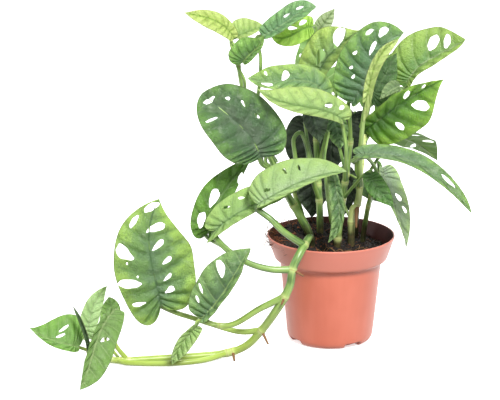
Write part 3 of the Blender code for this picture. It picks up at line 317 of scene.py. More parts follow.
LEAVES = {
    "leaf_left_large": measures((-159, -60, 53), (-160, -46, 150), (0.10, -0.97, 0.20), 90, wl=0.79, wr=0.88,
        arch=(7, 8), side=(-6, -20), fold=(12, 6), curl=(-8, -16), lobe=(0.17, 0.09), tipw=0.19, wx=0.40,
        holes=[(0.91, -0.06, 16, 6.5, 42), (0.73, 0.12, 19, 7.5, 60), (0.56, 0.18, 15, 5.2, 46),
        (0.40, 0.32, 11, 4.8, 56), (0.24, 0.26, 10, 3.3, 58), (0.12, 0.24, 10, 5.4, 70),
        (0.76, -0.34, 12, 4.4, 30), (0.52, -0.52, 18, 9, 128), (0.27, -0.52, 22, 8, 106),
        (0.06, -0.44, 13, 4.5, 92), (0.44, -0.50, 2.6, 2.2, 0), (0.31, -0.34, 2.6, 2.2, 0)]),
    "leaf_left_rear": measures((-67, -48, 190), (-120, -36, 247), (0.05, -0.96, 0.28), 74, wl=0.86, wr=0.90,
        arch=(0, 20), side=(12, 0), fold=(22, 20), curl=(-14, -16), lobe=(0.03, 0.02), tipw=0.42, wx=0.33,
        holes=[(0.86, -0.02, 13, 4.6, 100), (0.72, 0.32, 4.5, 2.8, 145), (0.56, 0.47, 7.5, 2.2, 20),
        (0.39, 0.48, 6, 2.2, 178), (0.70, -0.36, 15, 2.0, 112)]),
    "leaf_left_mid": measures((-115, -45, 120), (-72, -12, 185), (0.10, -0.95, 0.28), 44, wl=0.88, wr=0.50,
        arch=(6, 6), side=(-12, -4), fold=(6, 20), lobe=(0.11, 0.12), tipw=0.04, wx=0.25,
        holes=[(0.33, -0.24, 17, 8, 174), (0.08, -0.38, 14, 7, 177), (0.67, 0.22, 12, 4, 158)]),
    "leaf_centre_low": measures((-69, -75, 153), (11, -62, 180), (-0.04, -0.84, 0.54), 42, wl=1.30, wr=0.28,
        arch=(8, 2), side=(-3, -9), fold=(4, 18), curl=(-17, -25), lobe=(0.04, 0.03), tipw=0.22,
        holes=[(0.15, -0.34, 6.5, 3.3, 20), (0.54, -0.62, 7.5, 2.2, 90), (0.40, -0.72, 8, 2.2, 88)]),
    "leaf_centre_lower": measures((-107, -64, 126), (-31, -48, 159), (-0.07, -0.86, 0.50), 38, wl=1.0,
        wr=0.46, arch=(7, 6), side=(-8, -3), fold=(10, 30), curl=(-15, -20), lobe=(0.08, 0.17), tipw=0.09,
        wx=0.40, holes=[(0.22, -0.54, 6.5, 2.2, 20), (0.39, -0.58, 6, 2.2, 20)]),
    "leaf_trail_upright": measures((-120, -85, 48), (-76, -80, 113), (-0.19, -0.96, 0.20), 50, wl=1.08,
        wr=0.42, arch=(3, 6), side=(6, 2), fold=(7, 58), curl=(-10, 0), lobe=(0.05, 0.04), tipw=0.32,
        wx=0.41, holes=[(0.62, -0.55, 17, 7.5, 137), (0.27, -0.76, 11, 3, 125), (0.13, -0.60, 8, 3, 121)]),
    "leaf_trail_narrow": measures((-125, -91, 42), (-148, -91, 5), (0.24, -0.96, -0.14), 23, wl=0.80,
        wr=0.90, arch=(0, 0), side=(4, 4), fold=(45, 45), lobe=(0.06, 0.12), tipw=0.24, wx=0.40),
    "leaf_young_left": measures((-92, -2, 292), (-136, -20, 318), (0.10, -0.85, 0.52), 22, wl=1.0, wr=0.75,
        arch=(3, 4), side=(11, 2), fold=(20, 18), curl=(-19, -20), lobe=(0.0, 0.0), tipw=0.22, wx=0.42),
    "leaf_young_right": measures((-89, 2, 292), (-64, 18, 299), (0.31, -0.72, 0.62), 26, wl=1.15, wr=0.40,
        arch=(1, 1), side=(0, 1), fold=(20, 25), lobe=(0.02, 0.0), tipw=0.22, wx=0.28),
    "leaf_dark_small": measures((-83, -24, 273), (-64, -14, 296), (0.40, -0.91, 0.12), 32, wl=1.15, wr=0.35,
        arch=(3, 3), side=(-2, 5), fold=(10, 55), lobe=(0.18, 0.03), wx=0.25),
    "leaf_top_left": measures((-65, -6, 294), (-16, 0, 320), (-0.02, -0.97, 0.23), 30, wl=0.86, wr=0.62,
        arch=(2, 6), side=(3, -5), fold=(6, 58), curl=(-20, -12), lobe=(0.02, 0.0), tipw=0.46, wx=0.47,
        holes=[(0.75, -0.30, 7.5, 2.5, 9), (0.51, -0.34, 6.5, 2.2, 5)]),
    "leaf_top_behind": measures((-19, 35, 295), (-57, 29, 288), (0.10, -0.96, 0.26), 33, wl=0.68, wr=0.74,
        arch=(4, 3), side=(3, -13), curl=(-18, -18), lobe=(0.05, 0.05), tipw=0.24, wx=0.31,
        holes=[(0.42, 0.34, 9, 3.4, 30), (0.18, 0.34, 7, 4, 165)]),
    "leaf_top_pale": measures((-10, 70, 286), (4, 70, 306), (0.10, -0.97, 0.20), 17, wl=1.0, wr=0.85,
        fold=(20, 20), lobe=(0.08, 0.08), tipw=0.15, wx=0.30),
    "leaf_top_middle": measures((-15, 17, 247), (26, 14, 296), (-0.20, -0.96, 0.20), 48, wl=1.03, wr=0.50,
        arch=(5, 7), side=(-10, -5), fold=(7, 40), curl=(-20, -18), lobe=(0.13, 0.02), tipw=0.05, wx=0.47,
        holes=[(0.68, -0.25, 21, 9.4, 145), (0.33, -0.25, 15, 7.4, 165)]),
    "leaf_mid_left": measures((-6, -12, 240), (-79, -27, 259), (0.05, -0.90, 0.43), 34, wl=0.48, wr=0.92,
        arch=(10, 6), side=(19, -7), fold=(14, 10), curl=(-20, -22), lobe=(0.0, 0.02), tipw=0.44, wx=0.45,
        holes=[(0.56, 0.26, 10.5, 6.2, 122), (0.79, 0.44, 4.8, 2.9, 60), (0.78, -0.16, 11, 3.2, 7)]),
    "leaf_mid_pale": measures((7, -42, 224), (-70, -56, 255), (0.15, -0.87, 0.47), 34, wl=0.45, wr=1.10,
        arch=(7, 7), side=(6, -14), lobe=(0.03, 0.08), tipw=0.19, wx=0.40, holes=[(0.20, 0.34, 8, 4.8, 150),
        (0.06, 0.52, 6, 3.6, 120)]),
    "leaf_right_top": measures((71, 20, 245), (123, 10, 288), (-0.20, -0.96, 0.20), 60, wl=1.0, wr=0.32,
        arch=(4, -4), side=(-12, 1), fold=(4, 50), curl=(-22, -10), lobe=(0.06, 0.02), tipw=0.44, wx=0.30,
        holes=[(0.58, -0.40, 16, 9, 144), (0.76, -0.24, 14, 6.5, 130)]),
    "leaf_right_mid": measures((31, -6, 206), (101, -22, 257), (-0.05, -0.99, -0.08), 62, wl=0.42, wr=1.05,
        arch=(12, 14), side=(-4, -9), fold=(24, 4), curl=(-11, -20), lobe=(0.0, 0.0), tipw=0.09, wx=0.46,
        holes=[(0.65, 0.36, 17, 10, 40), (0.60, -0.18, 9, 4.6, 150), (0.78, -0.12, 4.4, 2.8, 160),
        (0.33, 0.52, 11, 6, 94)]),
    "leaf_right_long": measures((21, -64, 196), (122, -88, 148), (0.06, -0.72, 0.69), 24, wl=0.92, wr=0.45,
        arch=(16, 14), side=(-20, -14), fold=(16, 16), curl=(-22, -22), lobe=(0.04, 0.04), tipw=0.44,
        wx=0.26, holes=[(0.71, -0.32, 17, 3.2, 2)]),
    "leaf_right_green": measures((34, -38, 172), (56, -43, 139), (-0.12, -0.99, 0.07), 22, wl=0.90, wr=0.85,
        side=(6, -2), fold=(10, 20), lobe=(0.04, 0.04), tipw=0.05, wx=0.35),
    "leaf_right_grey": measures((46, -20, 172), (69, -28, 96), (0.25, -0.94, 0.23), 30, wl=0.98, wr=0.35,
        arch=(3, 4), side=(4, -7), fold=(14, 20), lobe=(0.03, 0.0), tipw=0.08, wx=0.28,
        holes=[(0.38, -0.40, 9, 3.4, 165), (0.54, -0.46, 8, 2.6, 172)]),
    "leaf_right_under": measures((26, 14, 152), (50, 6, 131), (0.05, -0.98, 0.20), 20, fold=(15, 15),
        lobe=(0.08, 0.08), tipw=0.10, wx=0.30),
    "leaf_centre_hang": measures((0, -44, 173), (-5, -56, 111), (0.25, -0.95, 0.20), 20, wl=0.50, wr=0.95,
        arch=(3, 2), side=(-4, -16), fold=(25, 25), lobe=(0.02, 0.02), tipw=0.35, wx=0.40),
    "leaf_top_right": measures((18, 2, 230), (64, -12, 298), (0.05, -0.98, -0.05), 66, wl=0.95, wr=0.24,
        arch=(-3, 8), side=(2, -22), fold=(14, 8), curl=(-16, -16), lobe=(0.03, 0.0), tipw=0.44, wx=0.46,
        holes=[(0.83, -0.34, 9, 7, 160), (0.76, -0.60, 6, 4, 30), (0.66, -0.22, 14, 4, 165),
        (0.56, -0.58, 5, 3.2, 30), (0.40, -0.50, 5, 3, 20), (0.30, -0.34, 5, 2.8, 15)]),
    "leaf_young_sheath": measures((28, -46, 242), (56, -55, 300), (-0.15, -0.99, 0.0), 20, wl=0.55, wr=1.05,
        arch=(1, 2), side=(-5, -15), fold=(30, 36), curl=(30, 40), lobe=(0.02, 0.28), tipw=0.38, wx=0.46),
    "leaf_right_behind": measures((37, 10, 232), (60, 16, 274), (0.10, -0.98, 0.16), 32, wl=1.0,
        fold=(12, 12), curl=(-18, -18), lobe=(0.10, 0.10), tipw=0.10, wx=0.30),
    "leaf_small_curl": measures((62, -5, 246), (42, -22, 238), (0.0, -0.62, 0.78), 18, arch=(4, 2),
        fold=(28, 28), curl=(10, 10), lobe=(0.04, 0.04), tipw=0.10, wx=0.35),
    "leaf_centre_grey": measures((-19, -20, 233), (-12, -27, 197), (0.02, -0.99, 0.13), 27, wl=0.95, wr=0.75,
        arch=(3, 2), side=(4, -1), tipw=0.06, wx=0.38),
    "leaf_centre_cup": measures((-1, -3, 221), (7, -12, 188), (0.05, -0.98, 0.18), 26, arch=(-3, -3),
        side=(-2, -2), fold=(12, 12), curl=(30, 30), tipw=0.17, wx=0.42),
    "leaf_end_front": measures((-200, -86, 56), (-227, -152, 4), (0.05, -0.62, 0.78), 44, wl=0.84, wr=0.26,
        arch=(4, 3), side=(9, -2), fold=(8, 36), curl=(-12, -5), lobe=(0.03, 0.0), tipw=0.42, wx=0.45,
        holes=[(0.40, -0.30, 9, 4.6, 50)]),
    "leaf_end_left": measures((-235, -77, 17), (-280, -72, 34), (0.09, -0.90, 0.43), 42, wl=0.30, wr=1.40,
        arch=(6, 4), side=(-3, -5), fold=(10, 2), curl=(-18, -16), lobe=(0.0, 0.07), tipw=0.04, wx=0.28,
        holes=[(0.36, 0.62, 12, 2.8, 130), (0.38, 0.28, 10, 2.5, 143)]),
    "leaf_end_spear": measures((-225, -84, 16), (-239, -76, 57), (0.2, -0.98, 0.1), 9, arch=(0, 0),
        side=(4, 2), fold=(40, 40), curl=(50, 50), lobe=(0.0, 0.0), wx=0.40),
    "leaf_end_up": measures((-228, -52, 17), (-210, -40, 64), (0.20, -0.96, 0.19), 22, wl=0.85, wr=0.80,
        arch=(0, 3), side=(-7, -8), fold=(22, 22), tipw=0.23, wx=0.42),
    "leaf_end_rear": measures((-211, -34, 13), (-210, -24, 48), (0.19, -0.95, 0.26), 22, wl=1.0, wr=0.85,
        arch=(1, 4), side=(2, 5), fold=(18, 18), lobe=(0.06, 0.06), tipw=0.40, wx=0.44),
}

# base, tip and width of the leaves in the shade in the middle, of which the photo shows only dark patches
INNER = {"left": ((-21, 35, 202), (-27, 32, 150), 46),
         "middle": ((3, 42, 209), (0, 37, 153), 46),
         "right": ((22, 37, 210), (22, 35, 161), 34),
         "low": ((-16, 26, 158), (-18, 22, 112), 36),
         "lower_right": ((10, 32, 157), (11, 26, 111), 38)}
for place, (base, tip, width) in INNER.items():
    LEAVES["leaf_inner_" + place] = measures(base, tip, (0.05, -0.96, 0.25), width, arch=(4, 5), side=(3, -2),
                                             fold=(12, 12), curl=(-16, -16), lobe=(0.10, 0.10))

# base, tip, up, width, arch, side, fold and holes of the leaves at the back, which the photo doesn't show
FOUR_HOLES = [(0.30, 0.46, 13, 5, 70), (0.56, 0.42, 12, 5, 60), (0.36, -0.46, 13, 5, 110),
              (0.62, -0.40, 11, 4.6, 120)]
THREE_HOLES = [(0.30, 0.46, 12, 5, 70), (0.56, 0.42, 11, 5, 60), (0.36, -0.46, 12, 5, 110)]
BACK = {"high": ((2, 70, 226), (-22, 96, 288), (-0.10, 0.93, -0.35), 58, (5, 6), (3, -3), 8, FOUR_HOLES),
        "left": ((-58, 58, 168), (-112, 92, 196), (-0.30, 0.60, 0.74), 56, (6, 8), (0, 0), 8, FOUR_HOLES),
        "right": ((60, 52, 186), (108, 88, 152), (0.45, 0.70, 0.55), 54, (8, 8), (0, 0), 8, FOUR_HOLES),
        "low": ((-14, 84, 150), (6, 118, 96), (0.10, 0.86, 0.50), 50, (6, 6), (2, 2), 8, THREE_HOLES),
        "upright": ((44, 66, 214), (74, 82, 270), (0.45, 0.86, -0.25), 48, (4, 6), (0, 2), 10, THREE_HOLES)}
for place, (base, tip, up, width, arch, side, fold, holes) in BACK.items():
    LEAVES["leaf_back_" + place] = measures(base, tip, up, width, arch=arch, side=side, fold=(fold, fold),
                                            curl=(-18, -18), lobe=(0.12, 0.12), holes=holes)
print(len(LEAVES), "leaves with", sum(len(s["holes"]) for s in LEAVES.values()), "holes")

# %% [markdown]
# ## From a flat blade to a bent one
#
# The blade is a function of two parameters.  One runs along the margin, from the notch where the stalk
# joins, round the lobe and up to the tip.  The other runs from the left margin over the midrib to the right
# margin.  Lines of the first parameter are laid like the side veins, so that the veins and the swelling
# between them can later follow the grid.

# %% The shape of a blade
EDGE_SHARES = (0.0, 0.14, 0.53, 1.0)   # where the lobe's foot and the widest place fall along the margin
VEIN_STEP = 0.105        # usual distance between two side veins, as a share of the margin
VEIN_BOW = 0.22          # how far a side vein bows back, as a share of the half's width there
MARGIN_WANDER = 0.022    # how far the margin wanders in, as a share of the same width


def half_edge(s, length, width, lobe, widest, tip_full):
    """Margin of one half: three cubic curves, from the notch round the lobe, to the widest place and to the
    tip."""
    lobe = max(lobe, 0.03)
    runs = [[(0, 0), (-0.45 * lobe * length, 0.03 * width), (-lobe * length, 0.09 * width),
             (-lobe * length, 0.21 * width)],
            [(-lobe * length, 0.21 * width), (-lobe * length, 0.40 * width),
             ((widest - 0.22) * length, 0.5 * width), (widest * length, 0.5 * width)],
            [(widest * length, 0.5 * width), ((widest + 0.30) * length, 0.5 * width),
             (0.86 * length, tip_full * width), (length, 0)]]
    out = np.zeros((len(s), 2))
    for ctrl, low, high in zip(runs, EDGE_SHARES[:-1], EDGE_SHARES[1:]):
        here = (s >= low) & (s <= high)
        out[here] = bezier(ctrl, (s[here] - low) / (high - low))
    return out


class Leaf:
    """A blade drawn flat as (along, across) in millimetres and bent along its midrib."""

    def __init__(self, spec):
        self.spec = spec
        base = np.array(spec["base"], float)
        tip = np.array(spec["tip"], float)
        chord = tip - base
        along = unit(chord)
        up = np.array(spec["up"], float)
        self.normal = unit(up - (up @ along) * along)
        self.across = np.cross(along, self.normal)
        arch, side = spec["arch"], spec["side"]
        self.ctrl = [base, base + chord * 0.33 + self.normal * arch[0] + self.across * side[0],
                     base + chord * 0.67 + self.normal * arch[1] + self.across * side[1], tip]
        self.t = np.linspace(0, 1, 120)
        self.arc = lengths(bezier(self.ctrl, self.t))
        self.length = self.arc[-1]

    def frame(self, x):
        """Point, direction, sideways and upward vectors of the midrib at a distance from its base."""
        u = np.interp(np.clip(x, 0, self.length), self.arc, self.t)
        a, b, c, d = self.ctrl
        w = u[..., None]
        tan = unit(3 * (1 - w) ** 2 * (b - a) + 6 * (1 - w) * w * (c - b) + 3 * w * w * (d - c))
        p = bezier(self.ctrl, u) + np.minimum(x, 0)[..., None] * tan
        s = unit(self.across - (tan @ self.across)[..., None] * tan)
        return p, tan, s, np.cross(s, tan)

    def place(self, x, y, lift):
        """Flat (x, y) to space, moved out from the face by lift.  Each half turns up by its fold and then
        bends at a steady rate, so that a point at a distance r from the midrib has gone out by
        (sin(fold + rate r) - sin fold) / rate and up by (cos fold - cos(fold + rate r)) / rate."""
        p, _, s, n = self.frame(x)
        fold = np.radians(np.where(y >= 0, self.spec["fold"][1], self.spec["fold"][0]))
        curl = np.where(y >= 0, self.spec["curl"][1], self.spec["curl"][0])
        rate = np.radians(np.where(np.abs(curl) < 1e-6, 1e-6, curl)) / (self.spec["width"] / 2)
        r = np.abs(y)
        out = (np.sin(fold + rate * r) - np.sin(fold)) / rate
        high = (np.cos(fold) - np.cos(fold + rate * r)) / rate
        half = np.sign(y)
        face = np.cos(fold + rate * r)[..., None] * n - (half * np.sin(fold + rate * r))[..., None] * s
        return p + (half * out)[..., None] * s + high[..., None] * n + lift[..., None] * face

    def grid(self, rows, cols):
        """Flat points: a row starts on the midrib and runs out to both margins, bowed back a little as a
        side vein is before it turns forward to the margin."""
        spec = self.spec
        s = np.linspace(0, 1, rows + 1)
        v = np.linspace(-1, 1, 2 * cols + 1)
        width, widest, full = spec["width"], spec["wx"], spec["tipw"]
        left = half_edge(s, self.length, width, spec["lobe"][0], widest, full) * (1, -spec["wl"])
        right = half_edge(s, self.length, width, spec["lobe"][1], widest, full) * (1, spec["wr"])
        edge = np.where(v[None, :, None] < 0, left[:, None], right[:, None])
        foot = np.interp(s, EDGE_SHARES, [0, 0.01, max(0.08, widest - 0.17), 1.0]) * self.length
        a = np.abs(v)[None, :]
        bow = np.clip((s - 0.14) / 0.25, 0, 1) * np.clip((1 - s) / 0.25, 0, 1)
        x = foot[:, None] * (1 - a) + edge[..., 0] * a
        x = x - VEIN_BOW * bow[:, None] * np.abs(edge[..., 1]) * a * (1 - a)
        wander = np.sin(2 * math.pi * (4.3 * s[:, None] + 0.31 * np.sign(v)[None, :] + 0.01 * width))
        return s, v, x, edge[..., 1] * a * (1 - MARGIN_WANDER * (0.5 + 0.5 * wander) * a ** 3)


def vein_count(s, marks):
    """How many side veins lie before s on one half.  A hole lies half way between two veins, and between
    the holes the veins are spread evenly."""
    places, counts = [0.0], [0.0]
    for mark in marks:
        if len(places) == 1:
            count = max(0.0, round(mark / VEIN_STEP - 0.5)) + 0.5
        else:
            count = counts[-1] + max(1.0, round((mark - places[-1]) / VEIN_STEP))
        places.append(mark)
        counts.append(count)
    counts.append(counts[-1] + max(0.5, (1.0 - places[-1]) / VEIN_STEP))
    places.append(1.0)
    return np.interp(s, places, counts)


# %% [markdown]
# ## Cutting the holes
#
# The holes of this plant lie between the side veins and have a clean rim.  A Boolean on a thin curved sheet
# leaves ragged edges, so the grid is cut while it is still flat: wherever a grid line crosses the rim of a
# hole, its nearer end moves on to the rim, and what is left inside is dropped.

# %% Cut a flat grid
DROP = 0.34              # how much wider than its middle a hole is towards the margin, as a share
UNEVEN = (0.06, 0.04)    # two waves round its rim, as shares of its reach


def hole_value(x, y, hole, leaf):
    """Below 0 inside a hole, 0 on its rim: the length of (a, b), in half lengths and half widths, over the
    reach of a drop shape in that direction, less 1.  The drop is wider towards the margin and uneven."""
    place_x, place_y, length, width, angle = hole
    dx = x - place_x * leaf.length
    dy = y - place_y * leaf.spec["width"] / 2
    c, s = math.cos(math.radians(angle)), math.sin(math.radians(angle))
    a = (dx * c + dy * s) / (length / 2)
    b = (dy * c - dx * s) / (width / 2)
    out = 1 if place_y * s >= 0 else -1
    turn = np.arctan2(b, a)
    slim = 1 + DROP * out * np.cos(turn)
    reach = 1 / np.sqrt(np.cos(turn) ** 2 + (np.sin(turn) / slim) ** 2)
    start = 40 * place_x
    reach = reach * (1 + UNEVEN[0] * np.sin(3 * turn + start) + UNEVEN[1] * np.sin(6 * turn + 2 * start))
    return np.hypot(a, b) / reach - 1, dx, dy


def corners_of(grid):
    """The four corner values of every cell of a grid, in turn round the cell."""
    return np.stack([grid[:-1, :-1], grid[:-1, 1:], grid[1:, 1:], grid[1:, :-1]], -1).reshape(-1, 4)


def cut_grid(x, y, leaf):
    """Moved grid points, and the faces that are left, as quads and triangles of point numbers."""
    state = np.ones(x.shape)
    for hole in leaf.spec["holes"]:
        q, dx, dy = hole_value(x, y, hole, leaf)
        gap = np.hypot(dx, dy) * q / np.maximum(1 + q, 1e-6)
        inside = q < 0
        snap = np.zeros(x.shape, bool)
        for lo, hi in (((slice(None, -1),), (slice(1, None),)),
                       ((slice(None), slice(None, -1)), (slice(None), slice(1, None)))):
            crossed = inside[lo] != inside[hi]
            nearer = np.abs(gap[hi]) < np.abs(gap[lo])
            snap[hi] |= crossed & nearer
            snap[lo] |= crossed & ~nearer
        move = 1 / np.maximum(1 + q, 1e-6) - 1
        x = np.where(snap, x + dx * move, x)
        y = np.where(snap, y + dy * move, y)
        state = np.where(snap, 0, np.where(inside, -1, state))
    number = np.arange(x.size).reshape(x.shape)
    number[0] = number[0, 0]
    number[-1] = number[-1, 0]
    corners, signs = corners_of(number), corners_of(state)
    middle_x, middle_y = corners_of(x).mean(1), corners_of(y).mean(1)
    hollow = np.zeros(len(corners), bool)
    for hole in leaf.spec["holes"]:
        hollow |= hole_value(middle_x, middle_y, hole, leaf)[0] < 0
    whole = (signs.min(1) >= 0) & ((signs.max(1) > 0) | ~hollow)
    torn = (signs.min(1) < 0) & (signs.max(1) > 0)
    faces = [tuple(dict.fromkeys(f)) for f in corners[whole].tolist()]
    for f, g in zip(corners[torn].tolist(), signs[torn].tolist()):
        faces.append(tuple(dict.fromkeys(n for n, k in zip(f, g) if k >= 0)))
    return x, y, [f for f in faces if len(f) > 2]


# %% [markdown]
# ## Relief and thickness
#
# Between two side veins the blade swells a little, the midrib lies in a groove and the margin is faintly
# waved.  These are real heights in the mesh, because they catch the light in bands.  Solidify then gives
# the blade its half millimetre, and puts the paler finish on the underside.

# %% Make one blade
SHEET = 0.45             # thickness of a living blade in the scene, mm
SMALL_BLADE = 60         # a blade shorter than this has the finer grid, mm
FINE, COARSE = 0.82, 1.05                  # distance between grid lines on a small and a large blade, mm
ROW_LIMITS, COL_LIMITS = (30, 136), (8, 42)
SMALLEST_HOLE = 4        # shorter holes don't push the veins apart, mm
SWELL, WAVE, LUMP = 0.019, 0.013, 0.010    # heights of the relief, as shares of the blade's width
RIB_GROOVE = 0.35        # depth of the groove over the midrib, mm


def vein_grid(leaf, s, v, x, y):
    """The count of side veins at every grid point, from the places of the holes on its half."""
    counts = {}
    for side in (-1, 1):
        marks = []
        for along, across, length, _, _ in leaf.spec["holes"]:
            if across * side >= 0 and length > SMALLEST_HOLE:
                away = np.hypot(x - along * leaf.length, y - across * leaf.spec["width"] / 2)
                marks.append(float(s[np.unravel_index(away.argmin(), away.shape)[0]]))
        marks = sorted(marks)
        marks = [m for i, m in enumerate(marks) if i == 0 or m - marks[i - 1] > 0.05]
        counts[side] = vein_count(s, marks)
    return np.where(v[None, :] < 0, counts[-1][:, None], counts[1][:, None])


def relief(s, v, x, y, count, size, seed):
    """Height over the bent blade: a swelling (1 - cos(2 pi count)) / 2 between the veins, a wave by the
    margin, lumps, and a groove exp(-(y / 0.9)^2) over the midrib.  All fade out at the notch and the tip."""
    a = np.abs(v)[None, :]
    calm = np.clip(6 * s * (1 - s), 0, 1)[:, None]
    swell = (0.5 - 0.5 * np.cos(2 * math.pi * count)) * np.clip(5 * a, 0, 1) * np.clip(3.5 * (1 - a), 0, 1)
    wave = a ** 3 * np.sin(2 * math.pi * (2.7 * s[:, None] + 0.37 * seed) + np.sign(v)[None, :])
    lump = lumps(x, y, 0.3 * size, seed)
    return calm * (size * (SWELL * swell + WAVE * wave + LUMP * lump) - RIB_GROOVE * np.exp(-(y / 0.9) ** 2))


def blade(name, spec, upper, under, seed):
    """Put one blade into the scene; the Leaf that is returned says where its stalk has to end."""
    leaf = Leaf(spec)
    cell = FINE if leaf.length < SMALL_BLADE else COARSE
    rows = int(np.clip(1.5 * leaf.length / cell, *ROW_LIMITS))
    cols = int(np.clip(0.5 * spec["width"] * max(spec["wl"], spec["wr"]) / cell, *COL_LIMITS))
    s, v, x, y = leaf.grid(rows, cols)
    count = vein_grid(leaf, s, v, x, y)
    x, y, faces = cut_grid(x, y, leaf)
    lift = relief(s, v, x, y, count, spec["width"], seed)
    points = leaf.place(x, y, lift).reshape(-1, 3)
    along = np.broadcast_to(s[:, None], x.shape)
    across = np.broadcast_to(v[None, :], x.shape)
    used = np.unique(np.concatenate([np.array(f) for f in faces]))
    order = np.full(x.size, -1)
    order[used] = np.arange(len(used))
    faces = [tuple(int(order[n]) for n in f) for f in faces]
    carried = {"flat": np.stack([x, y, np.full(x.shape, float(seed))], -1).reshape(-1, 3)[used],
               "veins": np.stack([along, across, count], -1).reshape(-1, 3)[used]}
    obj = piece(name.replace("leaf_", "blade_"), points[used], faces, carried, [upper, under],
                "young_leaf" if "young" in name or name == "leaf_top_pale" else "leaf", name)
    thick = obj.modifiers.new("thick", "SOLIDIFY")
    thick.thickness = SHEET * MM
    thick.offset = 0
    thick.material_offset = 1
    return leaf


# %% [markdown]
# ## The finish of a blade
#
# A leaf isn't one green.  Along the midrib it is greyer, partly its own colour and partly painted sheen, then
# comes the rich green of the grown blade, and near the margin a yellower green, partly a painted glow of
# light through the thin edge, in blotches that fade into each other.  Whitish patches are painted sheen, and
# one half of some blades is darkened with painted shade.  The side veins are fine lines in shallow grooves,
# with painted shade along them, and a net of finer ones between them.  Light also passes through a blade, so
# some of the
# surface is Translucent: that is what makes the far leaves glow.

# %% Leaf finishes
def shade(colour, share):
    """The same colour, darker."""
    return (*[c * share for c in colour[:3]], 1.0)


def muted(colour, share=0.15):
    """A colour drawn towards the grey that is as bright as it."""
    grey = 0.21 * colour[0] + 0.72 * colour[1] + 0.07 * colour[2]
    return (*[c + (grey - c) * share for c in colour[:3]], 1.0)


def blade_finish(name, heart, body, margin, rib, gloss, glow, dark_side=(1, 0.0)):
    """Upper face.  The last argument is (side, strength): painted shade that darkens one half of some blades.
    """
    f = Finish(name)
    flat = f.own("flat")
    veins = f.own("veins")
    across = veins.part("Y").size()
    blotch = f.noise(flat, 0.075, 2.0) - 0.5
    patch = f.noise(flat, 0.16, 4.0) - 0.5
    grain = f.noise(flat, 0.55, 3.0) - 0.5
    near = veins.part("Z").from_whole()
    # heart, body and margin, which run into each other in blotches; the grey heart is partly painted sheen
    # and the bright margin partly painted glow
    colour = f.mix((across + 0.8 * blotch + 0.5 * near + 0.3 * patch).rise(0.18, 0.58), heart, body)
    colour = f.mix((across + 0.9 * blotch + 0.3 * near + 0.5 * grain).rise(0.55, 1.0), colour, margin)
    # painted shade that darkens one half of some blades
    if dark_side[1] > 0:
        deep = (veins.part("Y") * dark_side[0] + 0.5 * blotch).rise(-0.25, 0.35) * dark_side[1]
        colour = f.mix(deep, colour, shade(body, 0.42))
    # painted shade in the grooves by the side veins, yellower to the tip, darker blotches, and whitish
    # patches of painted sheen
    valley = near.rise(0.30, 0.0)
    groove = 0.48 + 0.30 * min(1.0, 2.0 * body[1])
    colour = f.mix(valley * across.rise(0.0, 0.2) * 0.42, colour, shade(body, groove))
    colour = f.mix(veins.part("X").rise(0.68, 1.0) * 0.40, colour, margin)
    colour = f.mix((patch + 0.4 * grain).rise(-0.04, -0.26) * 0.55, colour, shade(body, 0.40))
    colour = f.mix((patch - 0.5 * blotch).rise(0.06, 0.28) * 0.30, colour, tint(196, 212, 176))
    # the side veins themselves, the midrib, the dry rim and the net of fine veins
    line = near.rise(0.06, 0.015) * across.rise(1.0, 0.75)
    colour = f.mix(line * 0.40, colour, rib)
    middle = flat.part("Y").size()
    keel = middle.rise(1.5, 0.5) * veins.part("X").rise(1.0, 0.9)
    colour = f.mix(keel * 0.85, colour, rib)
    rim = across.rise(0.965, 1.0)
    colour = f.mix(rim * 0.55, colour, tint(96, 84, 58))
    cells = f.add("TexVoronoi", {"feature": "DISTANCE_TO_EDGE"}, {"Vector": flat, "Scale": 0.55})
    net = cells.rise(0.0, 0.2)
    colour = f.mix((1 - net) * 0.20, colour, shade(body, 0.5 * groove + 0.2))
    height = net * 0.35 + valley * -1.0 + grain * 0.8 + patch * 3.0
    normal = f.bump(height, 0.75, 0.0013)
    skin = f.skin(colour, (grain * 0.15 + gloss), Normal=normal, Specular_IOR_Level=0.5)
    return f.done(f.lit_through(skin, margin, normal, glow))


def underside_finish():
    """Lower face: paler and duller, with the veins standing out."""
    f = Finish("leaf_underside")
    flat = f.own("flat")
    veins = f.own("veins")
    blotch = f.noise(flat, 0.09, 2.0) - 0.5
    near = veins.part("Z").from_whole()
    colour = f.mix(blotch.rise(-0.3, 0.3), tint(118, 160, 84), tint(146, 184, 104))
    colour = f.mix(near.rise(0.06, 0.01) * 0.7, colour, tint(182, 208, 138))
    grain = f.noise(flat, 0.7, 2.0)
    normal = f.bump(near.rise(0.10, 0.0) + grain * 0.4, 0.5, 0.0005)
    return f.done(f.lit_through(f.skin(colour, 0.55, Normal=normal), tint(150, 190, 70), normal, 0.35))
